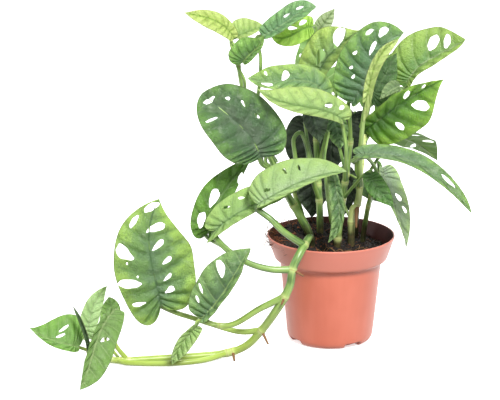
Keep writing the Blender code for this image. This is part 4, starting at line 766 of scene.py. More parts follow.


# heart, body, margin and rib colours, gloss, glow, and the (side, strength) of painted shade on one half if
# there is one
LOOKS = {
    "left_large": ((102, 134, 100), (118, 160, 82), (170, 212, 66), (74, 112, 66), 0.34, 0.3, (-1, 0.15)),
    "left_rear": ((102, 124, 94), (76, 114, 66), (96, 146, 48), (86, 116, 80), 0.32, 0.2),
    "left_mid": ((82, 124, 44), (92, 142, 24), (108, 166, 18), (120, 160, 80), 0.36, 0.35, (1, 0.2)),
    "centre_low": ((180, 208, 150), (172, 208, 126), (176, 212, 106), (112, 150, 80), 0.4, 0.35),
    "centre_lower": ((154, 190, 116), (156, 198, 98), (172, 212, 98), (98, 140, 70), 0.4, 0.35, (1, 0.2)),
    "trail_upright": ((84, 118, 80), (98, 138, 76), (138, 184, 86), (170, 204, 112), 0.38, 0.25),
    "trail_narrow": ((154, 194, 108), (162, 204, 102), (186, 222, 118), (196, 224, 136), 0.38, 0.25),
    "young_left": ((202, 224, 106), (214, 234, 114), (226, 240, 132), (156, 190, 76), 0.38, 0.45),
    "young_right": ((162, 196, 122), (190, 218, 118), (210, 232, 130), (140, 176, 90), 0.38, 0.45),
    "dark_small": ((92, 126, 76), (100, 152, 58), (136, 190, 62), (150, 186, 86), 0.36, 0.3, (1, 0.2)),
    "top_left": ((116, 162, 114), (104, 154, 92), (130, 186, 102), (150, 190, 124), 0.36, 0.25),
    # top_behind's greens are painted lighter: painted light on a blade that lies in shade
    "top_behind": ((178, 228, 76), (188, 236, 72), (202, 244, 80), (110, 166, 56), 0.4, 0.45),
    "top_pale": ((184, 202, 150), (192, 210, 158), (202, 218, 168), (156, 180, 126), 0.42, 0.45),
    "top_middle": ((118, 150, 100), (152, 188, 86), (188, 218, 84), (84, 118, 70), 0.36, 0.35, (1, 0.4)),
    "mid_left": ((112, 154, 106), (128, 172, 94), (168, 208, 84), (142, 178, 110), 0.36, 0.3),
    "mid_pale": ((150, 188, 104), (180, 216, 114), (192, 222, 110), (112, 150, 70), 0.4, 0.35, (-1, 0.2)),
    "right_top": ((122, 166, 98), (146, 184, 76), (174, 208, 86), (190, 208, 150), 0.38, 0.4),
    "right_mid": ((38, 74, 34), (104, 156, 26), (172, 220, 30), (36, 74, 34), 0.34, 0.45, (-1, 0.3)),
    "right_long": ((114, 144, 108), (108, 148, 90), (134, 180, 70), (126, 158, 100), 0.34, 0.25, (1, 0.2)),
    "right_green": ((86, 134, 54), (86, 144, 46), (112, 178, 50), (100, 150, 76), 0.36, 0.25, (1, 0.2)),
    "right_grey": ((176, 192, 172), (164, 192, 146), (184, 220, 128), (172, 198, 146), 0.34, 0.25),
    "right_under": ((74, 108, 66), (78, 118, 60), (104, 150, 66), (110, 142, 84), 0.4, 0.2),
    "centre_hang": ((76, 112, 64), (84, 130, 60), (146, 188, 92), (130, 166, 96), 0.38, 0.25, (-1, 0.2)),
    "top_right": ((122, 160, 124), (94, 140, 86), (142, 196, 74), (138, 172, 130), 0.32, 0.28),
    "young_sheath": ((214, 232, 136), (220, 238, 138), (226, 242, 144), (160, 190, 84), 0.36, 0.4),
    "right_behind": ((76, 112, 60), (72, 112, 50), (88, 136, 54), (96, 130, 72), 0.4, 0.2),
    "small_curl": ((118, 146, 98), (122, 152, 94), (146, 176, 106), (160, 186, 122), 0.45, 0.25),
    "centre_grey": ((72, 96, 72), (62, 88, 58), (78, 110, 64), (90, 116, 82), 0.38, 0.12, (1, 0.2)),
    "centre_cup": ((56, 86, 54), (58, 92, 50), (150, 198, 104), (80, 112, 68), 0.38, 0.2),
    "end_front": ((136, 172, 92), (128, 170, 78), (124, 172, 62), (178, 206, 128), 0.4, 0.3, (1, 0.25)),
    "end_left": ((144, 192, 94), (128, 182, 70), (142, 200, 64), (164, 200, 112), 0.38, 0.35),
    "end_spear": ((76, 108, 64), (72, 106, 58), (84, 122, 62), (96, 130, 76), 0.4, 0.1),
    "end_up": ((198, 232, 166), (194, 230, 152), (204, 238, 158), (196, 222, 156), 0.4, 0.35),
    "end_rear": ((168, 208, 138), (164, 210, 122), (182, 224, 118), (188, 218, 144), 0.38, 0.35),
    "back": ((104, 142, 98), (92, 140, 72), (136, 188, 64), (130, 164, 104), 0.36, 0.3),
    # the inner leaves' near-black greens are painted shade, for the dark middle of the crown
    "inner": ((38, 54, 34), (34, 50, 30), (46, 68, 34), (50, 70, 42), 0.6, 0.05),
}
underside = underside_finish()
made = {}
for seed, (name, spec) in enumerate(LEAVES.items()):
    short = name.removeprefix("leaf_")
    look = LOOKS.get(short, LOOKS["inner" if "inner" in name else "back"])
    colours = [muted(tint(*c)) for c in look[:4]]
    made[name] = blade(name, spec, blade_finish("finish_" + short, *colours, *look[4:]), underside, seed)

# %% [markdown]
# ## Vines and leaf stalks
#
# A vine is round and jointed: it thickens a little where a stalk leaves it, with a paler ring there.  Each
# leaf stalk is clasped round the vine at its foot, has a shallow channel along its upper side, and runs on
# under the blade as the raised midrib.  All of them are one circle carried along a curve, so one function
# of two parameters, the way along the curve and the turn round it, makes every one.

# %% A circle carried along a curve
def curve_through(points, step):
    """Catmull-Rom curve through the points, sampled about every step mm."""
    p = [np.asarray(q, float) for q in points]
    p = [2 * p[0] - p[1]] + p + [2 * p[-1] - p[-2]]
    out = []
    for i in range(1, len(p) - 2):
        n = max(1, int(round(np.linalg.norm(p[i + 1] - p[i]) / step)))
        t = (np.arange(n) / n)[:, None]
        out.append(0.5 * (2 * p[i] + (p[i + 1] - p[i - 1]) * t
                          + (2 * p[i - 1] - 5 * p[i] + 4 * p[i + 1] - p[i + 2]) * t * t
                          + (3 * p[i] - p[i - 1] - 3 * p[i + 1] + p[i + 2]) * t ** 3))
    out.append(p[-2][None])
    return np.concatenate(out)


def frames(path):
    """Sideways and upward vectors along a path.  The path's own plane gives the sideways one, so that they
    never turn over."""
    tangent = unit(np.gradient(path, axis=0))
    flat = np.linalg.svd(path - path.mean(0), full_matrices=False)[2][2]
    up = unit(flat - (tangent @ flat)[:, None] * tangent)
    return np.cross(tangent, up), up


JOINT_SWELL = 0.16       # how much thicker a stem is at a joint
JOINT_REACH = 2.4        # and how far along that shows, mm


def rod(path, radius, sides, sort, joints=(), channel=0.0):
    """Points path + radius (cos a side + sin a up), closed by a point at each end.  The radius swells near
    each joint, and the channel takes a little off it round one side."""
    arc = lengths(path)
    side, up = frames(path)
    node = np.zeros(len(arc))
    for place in joints:
        node = np.maximum(node, np.exp(-((arc - place) / JOINT_REACH) ** 2))
    a = turns(sides)
    groove = np.exp(-((np.arange(sides) / sides - 0.25) / 0.09) ** 2)
    fade = np.clip((1 - arc / arc[-1]) * 5, 0, 1)
    swollen = np.asarray(radius) * (1 + JOINT_SWELL * node)
    r = swollen[:, None] * (1 - channel * fade[:, None] * groove[None, :])
    ring = path[:, None] + r[..., None] * (np.cos(a)[None, :, None] * side[:, None]
                                           + np.sin(a)[None, :, None] * up[:, None])
    points = np.concatenate([ring.reshape(-1, 3), path[:1], path[-1:]])
    around = np.stack([np.broadcast_to(3 * np.cos(a), r.shape), np.broadcast_to(3 * np.sin(a), r.shape),
                       np.broadcast_to(arc[:, None], r.shape)], -1).reshape(-1, 3)
    kind = np.stack([np.full(r.shape, sort), np.broadcast_to(node[:, None], r.shape),
                     np.broadcast_to((arc / arc[-1])[:, None], r.shape)], -1).reshape(-1, 3)
    ends = [0, -1]
    return (points, ring_faces(len(path), sides, flip=True),
            {"round": np.concatenate([around, around[ends]]), "kind": np.concatenate([kind, kind[ends]])})

# %% [markdown]
# The curves are listed: the main stem, then each stalk with its start and the points that it passes, then
# short spurs, which are the roots that a vine sends out at its joints.  A stalk starts on whatever lies
# nearest to its first point, and ends just under its blade.

# %% The run of every vine, stalk and root
# name, points and radii of the main stem; stalks as leaf, start, points on the way and radius; and spurs as
# points with the radius at both ends
VINES = [
    ("vine_trailing",
     [(-18, -28, 74), (-19, -29, 98), (-21, -36, 110), (-27, -62, 110), (-33, -72, 102), (-38, -75, 91),
      (-40, -77, 78), (-45, -78, 66), (-54, -76, 50), (-66, -68, 30), (-80, -62, 13), (-98, -60, 5),
      (-125, -65, 3.6), (-160, -71, 3.6), (-196, -77, 3.8), (-212, -76, 6)],
     [3.2, 3.4, 3.9, 3.9, 3.7, 3.5, 3.4, 3.3, 2.8],
     [("leaf_centre_low", (-27, -62, 110), [(-46, -72, 126), (-58, -72, 138)], 2.9),
      ("leaf_centre_lower", (-38, -75, 91), [(-58, -77, 92), (-78, -74, 97), (-96, -66, 106)], 2.8),
      ("leaf_left_mid", (-90, -69, 104), [(-100, -58, 107)], 2.0),
      ("leaf_trail_upright", (-45, -78, 66), [(-68, -80, 55), (-90, -80, 41), (-106, -80, 39)], 2.7),
      ("leaf_trail_narrow", (-104, -80, 40), [(-114, -82, 41)], 1.5),
      ("leaf_left_large", (-66, -68, 30),
       [(-87, -60, 26), (-113, -56, 32), (-129, -54, 37), (-146, -52, 42)], 2.4),
      ("leaf_end_front", (-190, -76, 4), [(-201, -76, 20), (-203, -78, 40)], 1.9),
      ("leaf_end_left", (-205, -76, 5), [(-222, -72, 10)], 1.7),
      ("leaf_end_spear", (-206, -77, 5), [(-216, -82, 8)], 1.3),
      ("leaf_end_up", (-205, -75, 5), [(-216, -58, 9)], 1.4),
      ("leaf_end_rear", (-196, -76, 4), [(-206, -50, 5)], 1.4)],
     [([(-98, -60, 5), (-120, -75, 3.4), (-150, -83, 3.2), (-186, -82, 3.2), (-198, -78, 3.8)], 2.7, 2.5),
      ([(-66, -68, 30), (-60, -78, 20)], 1.5, 0.9),
      ([(-92, -61, 6), (-91, -73, 2.4)], 1.5, 1.0),
      ([(-45, -78, 66), (-48, -88, 62)], 1.4, 0.8),
      ([(-38, -75, 91), (-28, -82, 87)], 1.6, 0.8)]),
    ("vine_left",
     [(-19, -8, 76), (-20, -9, 102), (-31, -12, 126), (-42, -8, 144), (-56, 0, 174), (-71, 3, 204),
      (-81, 2, 232), (-86, -1, 256), (-88, -1, 272)],
     [3.9, 3.9, 3.7, 3.2, 2.8, 2.4, 2.0, 1.9],
     [("leaf_left_rear", (-36, -10, 134), [(-46, -22, 154), (-58, -33, 174)], 2.5),
      ("leaf_young_left", (-86, -1, 268), [], 1.3),
      ("leaf_young_right", (-85, -1, 264), [(-86, 4, 276)], 1.3),
      ("leaf_dark_small", (-76, -1, 236), [(-82, -12, 254)], 1.4),
      ("leaf_top_left", (-64, 1, 212), [(-68, 6, 246), (-67, 6, 272)], 1.6)],
     []),
    ("vine_middle",
     [(-10, 12, 76), (-10, 12, 112), (-12, 12, 150), (-14, 18, 186), (-15, 22, 214)],
     [3.4, 3.3, 2.9, 2.4],
     [("leaf_mid_left", (-12, 13, 160), [(-4, 15, 198), (2, 9, 226)], 1.9),
      ("leaf_centre_grey", (-12, 12, 148), [(-22, 4, 190), (-26, -8, 222)], 1.5),
      ("leaf_top_behind", (-15, 22, 212), [(-12, 38, 240), (-12, 46, 268)], 1.5),
      ("leaf_top_middle", (-14, 19, 190), [(-22, 30, 222)], 1.8),
      ("leaf_top_pale", (-15, 22, 210), [(-20, 52, 236), (-18, 66, 264)], 1.3)],
     [([(-11, 12, 132), (-20, -2, 164), (-23, -5, 186), (-29, -9, 203), (-36, -9, 197), (-34, -8, 176),
        (-33, -8, 162)], 2.3, 1.9)]),
    ("vine_front",
     [(5, -12, 72), (6, -13, 104), (10, -12, 140), (14, -10, 170), (17, -8, 198)],
     [3.7, 3.6, 3.3, 3.0, 2.6],
     [("leaf_mid_pale", (12, -11, 156), [(12, -26, 190)], 2.0),
      ("leaf_centre_hang", (8, -12, 126), [(6, -28, 156), (2, -36, 172)], 1.4),
      ("leaf_centre_cup", (13, -11, 164), [(4, -2, 198), (-2, 4, 216)], 1.5),
      ("leaf_top_right", (17, -8, 194), [(16, -2, 216)], 1.9),
      ("leaf_right_green", (10, -12, 140), [(20, -22, 156), (28, -30, 168)], 1.5)],
     [([(5, -12, 102), (-1, -21, 126), (-5, -25, 152), (-8, -27, 182), (-4, -29, 209)], 2.9, 1.0)]),
    ("vine_right",
     [(19, -2, 72), (19, -4, 100), (19, -6, 120), (20, -7, 129), (25, -8, 137), (27, -6, 168), (30, 0, 200)],
     [3.3, 3.3, 3.4, 3.2, 2.9, 2.6, 2.3],
     [("leaf_right_mid", (28, -5, 172), [(29, 3, 190)], 1.9),
      ("leaf_young_sheath", (26, -7, 150), [(25, -22, 180), (26, -36, 216)], 2.2),
      ("leaf_right_top", (30, 0, 196), [(45, 14, 212), (60, 22, 230)], 1.9),
      ("leaf_right_behind", (30, 0, 198), [(34, 14, 214)], 1.5),
      ("leaf_small_curl", (30, 0, 190), [(46, 2, 216), (60, 6, 240)], 1.1),
      ("leaf_right_under", (19, -6, 116), [(10, 8, 138), (14, 24, 154)], 1.2)],
     [([(24, -8, 135), (23, -13, 124), (23, -15, 113)], 2.4, 0.9)]),
    ("vine_far_right",
     [(29, 8, 72), (31, 7, 98), (34, 1, 124), (38, -7, 150)],
     [2.8, 2.6, 2.4, 2.1],
     [("leaf_right_long", (37, -5, 144), [(41, -20, 167), (30, -42, 188)], 1.8),
      ("leaf_right_grey", (35, -1, 130), [(44, -4, 156)], 1.5)],
     []),
    ("vine_back",
     [(8, 34, 76), (8, 38, 112), (4, 46, 150), (2, 52, 184)],
     [3.4, 3.2, 2.8, 2.4],
     [("leaf_back_high", (2, 51, 178), [(2, 58, 202)], 1.8),
      ("leaf_back_upright", (4, 46, 152), [(18, 52, 180), (34, 58, 198)], 1.7),
      ("leaf_back_low", (8, 38, 114), [(-2, 56, 142)], 1.7),
      ("leaf_inner_left", (2, 51, 176), [(-12, 54, 206)], 1.5),
      ("leaf_inner_middle", (2, 51, 180), [(6, 56, 206)], 1.5),
      ("leaf_inner_low", (6, 41, 132), [(-12, 36, 160)], 1.5),
      ("leaf_inner_lower_right", (8, 38, 116), [(13, 37, 140), (14, 37, 158)], 1.5)],
     []),
    ("vine_back_side",
     [(-24, 28, 78), (-26, 32, 108), (-34, 40, 134)],
     [3.0, 2.8, 2.4],
     [("leaf_back_left", (-33, 39, 130), [(-44, 46, 152)], 1.7)],
     []),
    ("vine_back_right",
     [(24, 26, 78), (25, 29, 108), (26, 36, 150), (24, 42, 190)],
     [3.2, 3.0, 2.7, 2.3],
     [("leaf_inner_right", (24, 41, 184), [(24, 46, 208)], 1.5),
      ("leaf_back_right", (25, 30, 116), [(34, 36, 146)], 1.6)],
     []),
]
SIDES = 14               # sides of a stem or a stalk
STEP = 1.6               # distance between the rings of a stem, mm
CHANNEL = 0.16           # depth of a stalk's channel, as a share of its radius
VINE, STALK, ROOT = 0.0, 1.0, 2.0          # the sorts of rod, which the finish tells apart


def nearest(point, axes):
    """Closest point to this one on any path so far, with the path's number and the distance along it."""
    best = None
    for k, axis in enumerate(axes):
        gap = np.linalg.norm(axis - point, axis=1)
        i = int(gap.argmin())
        if best is None or gap[i] < best[0]:
            best = (gap[i], axis[i], k, lengths(axis)[i])
    return best[1:]


def stalk_path(leaf, start, via, radius):
    """The stalk's curve up to the blade, and the midrib's curve under the blade with its radii.  The stalk
    arrives from below and behind, and ends just under the notch."""
    p, tan, _, n = leaf.frame(np.array([1.2]))
    end = p[0] - n[0] * (0.7 * radius + 0.7)
    arrive = unit(tan[0] * 0.75 + n[0] * 0.65)
    way = [start] + [np.array(v, float) for v in via]
    reach = min(16.0, 0.45 * float(np.linalg.norm(end - way[-1])))
    way += [end - arrive * reach, end]
    stem = curve_through(way, STEP)
    x = np.linspace(4, 0.93 * leaf.length, max(12, int(leaf.length / 3)))
    q, _, _, up = leaf.frame(x)
    thin = np.interp(x, [4, 0.3 * leaf.length, leaf.length], [0.72 * radius, 0.42 * radius, 0.28])
    return stem, q - up * (thin * 0.95 + 0.35)[:, None], thin


def vine(name, stem, stem_radii, stalks, spurs, finish):
    """The main stem, each stalk with its midrib, and each spur, as one mesh.  A stalk is thicker where it
    clasps the vine, and has a knee just under its blade."""
    path = curve_through(stem, STEP)
    share = np.linspace(0, 1, len(path))
    radii = np.interp(share, np.linspace(0, 1, len(stem_radii)), stem_radii)
    runs = [(path, radii, VINE, 0.0)]
    joints = [[]]
    for leaf_name, start, via, radius in stalks:
        foot, k, place = nearest(np.array(start, float), [r[0] for r in runs])
        joints[k].append(place)
        stem_path, rib_path, thin = stalk_path(made[leaf_name], foot, via, radius)
        whole = np.concatenate([stem_path, rib_path])
        t = np.linspace(0, 1, len(stem_path))
        knee = 0.12 * np.exp(-((t - 0.93) / 0.05) ** 2)
        clasp = np.interp(t, [0, 0.12, 0.35, 1], [1.28, 1.16, 1.04, 0.94])
        runs.append((whole, np.concatenate([radius * (clasp + knee), thin]), STALK, CHANNEL))
        joints.append([])
    for way, r0, r1 in spurs:
        foot, k, place = nearest(np.array(way[0], float), [r[0] for r in runs])
        joints[k].append(place)
        p = curve_through([foot] + [np.array(w, float) for w in way[1:]], STEP)
        runs.append((p, np.linspace(r0, r1, len(p)), ROOT if r1 <= 1.0 and len(way) < 4 else VINE, 0.0))
        joints.append([])
    parts = [rod(p, r, SIDES, sort, spots, channel) for (p, r, sort, channel), spots in zip(runs, joints)]
    return piece(name.replace("vine_", "stems_"), *gathered(parts), [finish], "stem", name)


# %% [markdown]
# ## The finish of a stem
#
# Fresh vine is a smooth yellow green with faint lengthwise streaks, paler and yellower at a joint and on the
# older wood near the table, and greener on the leaf stalks.  A root stub is dry and brown.  The mesh carries
# what kind of rod it is and how near a joint each point lies, and the finish mixes its colours from that.

# %% Stem finish
def stem_finish(green, pale, warm, bright=0.0):
    """bright is how far a main stem is drawn towards the pale yellow of a ripe one."""
    f = Finish("vine_skin")
    around = f.own("round")
    kind = f.own("kind")
    streak = f.noise(around.scaled(0.5, 0.5, 0.03), 1.0, 3.0) - 0.5
    blotch = f.noise(f.object(), 45.0, 2.0) - 0.5
    colour = f.mix((streak * 1.6 + blotch * 0.8 + 0.5).rise(0.1, 0.9), green, pale)
    colour = f.mix((streak + blotch * 1.4).rise(0.04, -0.22) * 0.55, colour, shade(green, 0.5))
    where = f.object()
    x, y, z = where.part("X"), where.part("Y"), where.part("Z")
    # yellower towards the table, pale when ripe, and painted shade, a dark brown, at the foot just over the
    # soil
    colour = f.mix(z.rise(0.09, 0.0) * 0.55, colour, warm)
    colour = f.mix(kind.part("X").rise(0.5, 0.0) * bright, colour, tint(216, 226, 148))
    in_pot = (x * x + y * y).math("SQRT").rise(0.058, 0.050)
    wet = f.mix(f.noise(f.object(), 320.0, 3.0).rise(0.35, 0.7), tint(26, 19, 15), tint(66, 46, 30))
    colour = f.mix((z + blotch * 0.03).rise(0.122, 0.100) * in_pot * 0.92, colour, wet)
    # a pale ring with a dry scar at each joint, and bark on a root
    colour = f.mix(kind.part("Y") * 0.75 * kind.part("X").rise(1.5, 0.5), colour, tint(206, 218, 140))
    scar = (kind.part("Y").rise(0.80, 0.97) - kind.part("Y").rise(0.975, 1.0)) * 0.5
    colour = f.mix(scar, colour, tint(132, 116, 62))
    dry = kind.part("X").rise(1.5, 1.9)
    bark = f.mix(f.noise(around, 1.2, 2.0), tint(92, 60, 36), tint(156, 116, 72))
    colour = f.mix(dry, colour, bark)
    height = streak + dry * f.noise(around, 2.0, 3.0)
    normal = f.bump(height, 0.5, 0.0004)
    return f.done(f.skin(colour, dry * 0.35 + 0.36, Normal=normal, Subsurface_Weight=0.15,
                         Subsurface_Radius=(0.002, 0.003, 0.001), Subsurface_Scale=0.6))


stem_skin = stem_finish(tint(92, 130, 60), tint(152, 182, 96), tint(176, 196, 74))
trailing_skin = stem_finish(tint(84, 120, 58), tint(142, 172, 92), tint(182, 202, 78))
pale_skin = stem_finish(tint(104, 142, 66), tint(168, 194, 108), tint(190, 206, 84), 0.72)
SKINS = {"vine_trailing": trailing_skin, "vine_right": pale_skin}
stems = [vine(*entry, SKINS.get(entry[0], stem_skin)) for entry in VINES]
print("vines:", len(stems), "with", sum(len(o.data.polygons) for o in stems), "faces")

# %% [markdown]
# ## The pot
#
# A nursery pot is one thin moulding: a tapered wall, a shoulder where the wider rim band starts, a rolled
# lip, and a foot with four notches so that water can run out.  It is a turned shape, a profile carried round
# the axis, except that the foot is lifted where a notch is; that lift is part of the formula.

# %% Turn the pot
POT_PROFILE = [(0, 1.6), (23, 1.6), (24.4, 2.0), (26.6, 6.6), (28, 7.0), (36.2, 7.0), (37.6, 7.4),
               (39.3, 9.0), (39.8, 10.4), (43.2, 44), (46.5, 78.2), (47.1, 79.6), (51.6, 82.7), (52.4, 83.8),
               (55.4, 93), (58.4, 101.8), (58.7, 102.6), (59.2, 103.0), (59.9, 103.0), (60.3, 102.7),
               (60.4, 102.1), (60.3, 101.4), (59.9, 100.6), (59.3, 98.6), (57.0, 91.4), (54.1, 82.8),
               (53.5, 81.4), (52.8, 80.7), (48.6, 78.2), (47.9, 77.2), (44.6, 43), (41.1, 7.6), (40.7, 5.2),
               (39.9, 3.3), (38.6, 1.6), (37.2, 0.7), (35.6, 0.2), (34.2, 0.0), (24, 0.0), (0, 0.0)]
POT_STEP = 2.8           # largest distance between the rings of the pot, mm
POT_SIDES = 216
NOTCH_TURNS = [math.radians(-58 + 90 * k) for k in range(4)]
NOTCH_HALF = 8.5         # half the width of a notch, mm
NOTCH_HIGH = 5.4
NOTCH_INNER = 30.5       # how near the pot's axis a notch begins, mm


def turned(profile, sides, edit):
    """Points (r cos a, r sin a, z) for a closed profile from the axis round to the axis again, with z
    changed by edit."""
    p = np.array(profile, float)
    a = turns(sides)
    ring = p[1:-1]
    x = ring[:, 0][:, None] * np.cos(a)[None, :]
    y = ring[:, 0][:, None] * np.sin(a)[None, :]
    z = edit(x, y, np.broadcast_to(ring[:, 1][:, None], x.shape))
    return ringed(x, y, z, p[0, 1], p[-1, 1]), ring_faces(len(ring), sides)


def denser(profile, step):
    """The same profile with points no further apart than step mm."""
    p = np.array(profile, float)
    arc = lengths(p)
    at = np.unique(np.concatenate([arc, np.arange(0, arc[-1], step)]))
    return np.stack([np.interp(at, arc, p[:, 0]), np.interp(at, arc, p[:, 1])], -1)


def lift_notches(x, y, z):
    """The foot rises to the notch's height from NOTCH_INNER to the outside, over the notch's width."""
    for turn in NOTCH_TURNS:
        out = x * math.cos(turn) + y * math.sin(turn)
        off = np.abs(y * math.cos(turn) - x * math.sin(turn))
        in_notch = (out > NOTCH_INNER) & (off < NOTCH_HALF) & (z < NOTCH_HIGH)
        z = np.where(in_notch, NOTCH_HIGH, z)
    return z


pot_points, pot_faces = turned(denser(POT_PROFILE, POT_STEP), POT_SIDES, lift_notches)


def pot_finish():
    """Satin moulded plastic, a little uneven in the wall, with painted shade on the inner wall and a painted
    lighter rim band.
    """
    f = Finish("pot_plastic")
    where = f.object()
    x, y, z = where.part("X"), where.part("Y"), where.part("Z")
    radius = (x * x + y * y).math("SQRT")
    flow = f.noise(where.scaled(60.0, 60.0, 6.0), 1.0, 3.0) - 0.5
    cloud = f.noise(where, 22.0, 2.0) - 0.5
    colour = f.mix((flow * 0.7 + cloud * 0.9 + 0.5).rise(0.2, 0.8), tint(195, 101, 76), tint(208, 115, 91))
    colour = f.mix(z.rise(0.025, 0.0) * 0.25, colour, tint(196, 96, 66))
    # the rim band is painted lighter: painted light on its outward-leaning face, with a pinkish painted sheen
    colour = f.mix(z.rise(0.079, 0.085) * 0.5, colour, tint(216, 134, 118))
    # the inner wall's radius is three straight lines in z, for the body, the step and the rim band
    body, step, band = z * 0.0986 + 0.0388, z * 1.381 - 0.0625, z * 0.326 + 0.0253
    wall = body.math("MAXIMUM", step.math("MINIMUM", band))
    inner = (wall - radius + 0.0005).rise(0.0, 0.0003) * z.rise(0.006, 0.012)
    # painted shade on the inner wall, a dark maroon
    damp = f.mix(f.noise(where, 60.0, 3.0), tint(64, 32, 32), tint(86, 42, 40))
    colour = f.mix(inner, colour, damp)
    grain = f.noise(where, 1400.0, 2.0)
    normal = f.bump(grain * 0.4 + flow * 1.2, 0.25, 0.0003)
    return f.done(f.skin(colour, cloud * 0.12 + 0.40, Normal=normal))


pot_piece = piece("pot_shell", pot_points, pot_faces, {}, [pot_finish()], "pot", "pot")
print("pot:", len(pot_faces), "faces")

# %% [markdown]
# Water leaves through a small round hole in the roof of each notch.  These are few and plain, so each is a
# cylinder taken away by a Boolean.

# %% Drill the four drain holes
DRAIN_RADIUS = 2.4
DRAIN_OUT = 33.4         # distance of a drain hole from the pot's axis, mm
DRILL_MIDDLE = 5.2       # height of the middle of the drill, and its length, mm
DRILL_LENGTH = 8.0
drills = bpy.data.collections.new("drills")
bpy.context.scene.collection.children.link(drills)
for turn in NOTCH_TURNS:
    place = (DRAIN_OUT * math.cos(turn), DRAIN_OUT * math.sin(turn), DRILL_MIDDLE)
    bpy.ops.mesh.primitive_cylinder_add(vertices=24, radius=DRAIN_RADIUS * MM, depth=DRILL_LENGTH * MM,
                                        location=[c * MM for c in place])
    drill = bpy.context.object
    for collection in list(drill.users_collection):
        collection.objects.unlink(drill)
    drills.objects.link(drill)
bore = pot_piece.modifiers.new("bore", "BOOLEAN")
bore.operation = "DIFFERENCE"
bore.operand_type = "COLLECTION"
bore.collection = drills
bore.solver = "MANIFOLD"
bpy.context.view_layer.update()
drilled = bpy.data.meshes.new_from_object(
    pot_piece.evaluated_get(bpy.context.evaluated_depsgraph_get()))
pot_piece.modifiers.clear()
pot_piece.data = drilled
for drill in list(drills.objects):
    bpy.data.objects.remove(drill, do_unlink=True)
bpy.data.collections.remove(drills)
print("pot after drilling:", len(drilled.polygons), "faces")

# %% [markdown]
# ## The soil
#
# The mix is dark peat with coir in it.  It lies low on the right and is heaped above the rim at the left and
# the back left.  Its ground is a height over the plane, the same gentle heap as the solid has, plus lumps of
# three sizes.  Loose crumbs lie on it, each a small block with knocked corners, and coir fibres stick out.

# %% Ground, crumbs and fibres
# radius and height of the pot's inner wall, mm
SOIL_WALL = np.array([(39.0, 8.0), (46.0, 79.0), (51.8, 83.2), (57.8, 101.6), (58.3, 103.0)])
SOIL_LOW = 76.0          # the scene's soil is closed here, out of sight
RIM_TOP, RIM_OUT = 102.5, 60.6             # past these a fibre is over the rim


def wall_at(z):
    return np.interp(z, SOIL_WALL[:, 1], SOIL_WALL[:, 0])


def heap(x, y):
    """Height of the soil: 90 mm, plus a heap that grows to the left, less a fall towards the wall."""
    r = np.hypot(x, y)
    left = np.clip(0.5 - (x - 0.35 * y) / 75.0, 0, 1)
    edge = np.maximum(0, (r - 40.0) / 16.0)
    bumps = 1.3 * np.sin(0.23 * x + 0.9) * np.cos(0.19 * y - 0.4)
    return 90.0 + 17.0 * left ** 1.3 - (3.0 + 4.0 * left) * edge + bumps


def ground(x, y):
    return heap(x, y) + 1.1 * lumps(x, y, 11.0, 3) + 0.7 * lumps(x, y, 5.0, 4) + 0.35 * lumps(x, y, 2.4, 5)


def soil_surface(rings, sides):
    """Rings out from the middle over the ground, then down inside the pot's wall and closed below."""
    a = turns(sides)
    f = np.linspace(0.02, 1, rings) ** 0.8
    reach = np.full(sides, 56.0)
    for _ in range(6):   # the radius where ground and wall meet, closer each time
        z = ground(reach * np.cos(a), reach * np.sin(a))
        reach = wall_at(z) - 0.4
    x = f[:, None] * reach * np.cos(a)
    y = f[:, None] * reach * np.sin(a)
    z = ground(x, y)
    below = np.stack([wall_at(z[-1] - 5.0) - 0.6, np.full(sides, 44.5), np.full(sides, 22.0)])
    x = np.concatenate([x, below * np.cos(a)])
    y = np.concatenate([y, below * np.sin(a)])
    z = np.concatenate([z, z[-1:] - 5.0, np.full((2, sides), SOIL_LOW)])
    return ringed(x, y, z, ground(0, 0), SOIL_LOW), ring_faces(len(x), sides)


def many(count, shape, faces, places, sizes, rng):
    """Copies of a small shape, each turned at random, stretched, scaled and moved, as one array."""
    w, x, y, z = unit(rng.normal(size=(count, 4))).T
    spin = np.stack([np.stack([1 - 2 * (y * y + z * z), 2 * (x * y - z * w), 2 * (x * z + y * w)], -1),
                     np.stack([2 * (x * y + z * w), 1 - 2 * (x * x + z * z), 2 * (y * z - x * w)], -1),
                     np.stack([2 * (x * z - y * w), 2 * (y * z + x * w), 1 - 2 * (x * x + y * y)], -1)], 1)
    stretch = rng.uniform(0.55, 1.4, (count, 1, 3))
    knocked = shape[None] * stretch * rng.uniform(0.8, 1.2, (count, len(shape), 1))
    points = np.einsum("cij,cpj->cpi", spin, knocked) * sizes[:, None, None] + places[:, None]
    faces = np.array(faces)[None] + (np.arange(count) * len(shape))[:, None, None]
    return points.reshape(-1, 3), [tuple(q) for q in faces.reshape(-1, 3).tolist()]


def toned(tones, each):
    """The carried vector that says how light each crumb or fibre is, for all its points."""
    return {"shade": np.repeat(tones, each)[:, None] * np.ones(3)}


GOLD = (1 + math.sqrt(5)) / 2
BLOCK = np.array([(-1, GOLD, 0), (1, GOLD, 0), (-1, -GOLD, 0), (1, -GOLD, 0), (0, -1, GOLD), (0, 1, GOLD),
                  (0, -1, -GOLD), (0, 1, -GOLD), (GOLD, 0, -1), (GOLD, 0, 1), (-GOLD, 0, -1),
                  (-GOLD, 0, 1)]) / 1.9
BLOCK_FACES = [(0, 11, 5), (0, 5, 1), (0, 1, 7), (0, 7, 10), (0, 10, 11), (1, 5, 9), (5, 11, 4),
               (11, 10, 2), (10, 7, 6), (7, 1, 8), (3, 9, 4), (3, 4, 2), (3, 2, 6), (3, 6, 8), (3, 8, 9),
               (4, 9, 5), (2, 4, 11), (6, 2, 10), (8, 6, 7), (9, 8, 1)]
CRUMB_REACH = 55.0       # crumbs lie this far out, unless the wall is nearer, mm
FIBRE_STEPS = 9


def inside(x, y, z, gap):
    """Places within the rim pulled in to gap mm from the pot's inner wall; those past the rim stay."""
    r = np.maximum(np.hypot(x, y), 0.01)
    share = np.where((z > RIM_TOP) | (r > RIM_OUT), 1, np.minimum(1, (wall_at(z) - gap) / r))
    return x * share, y * share


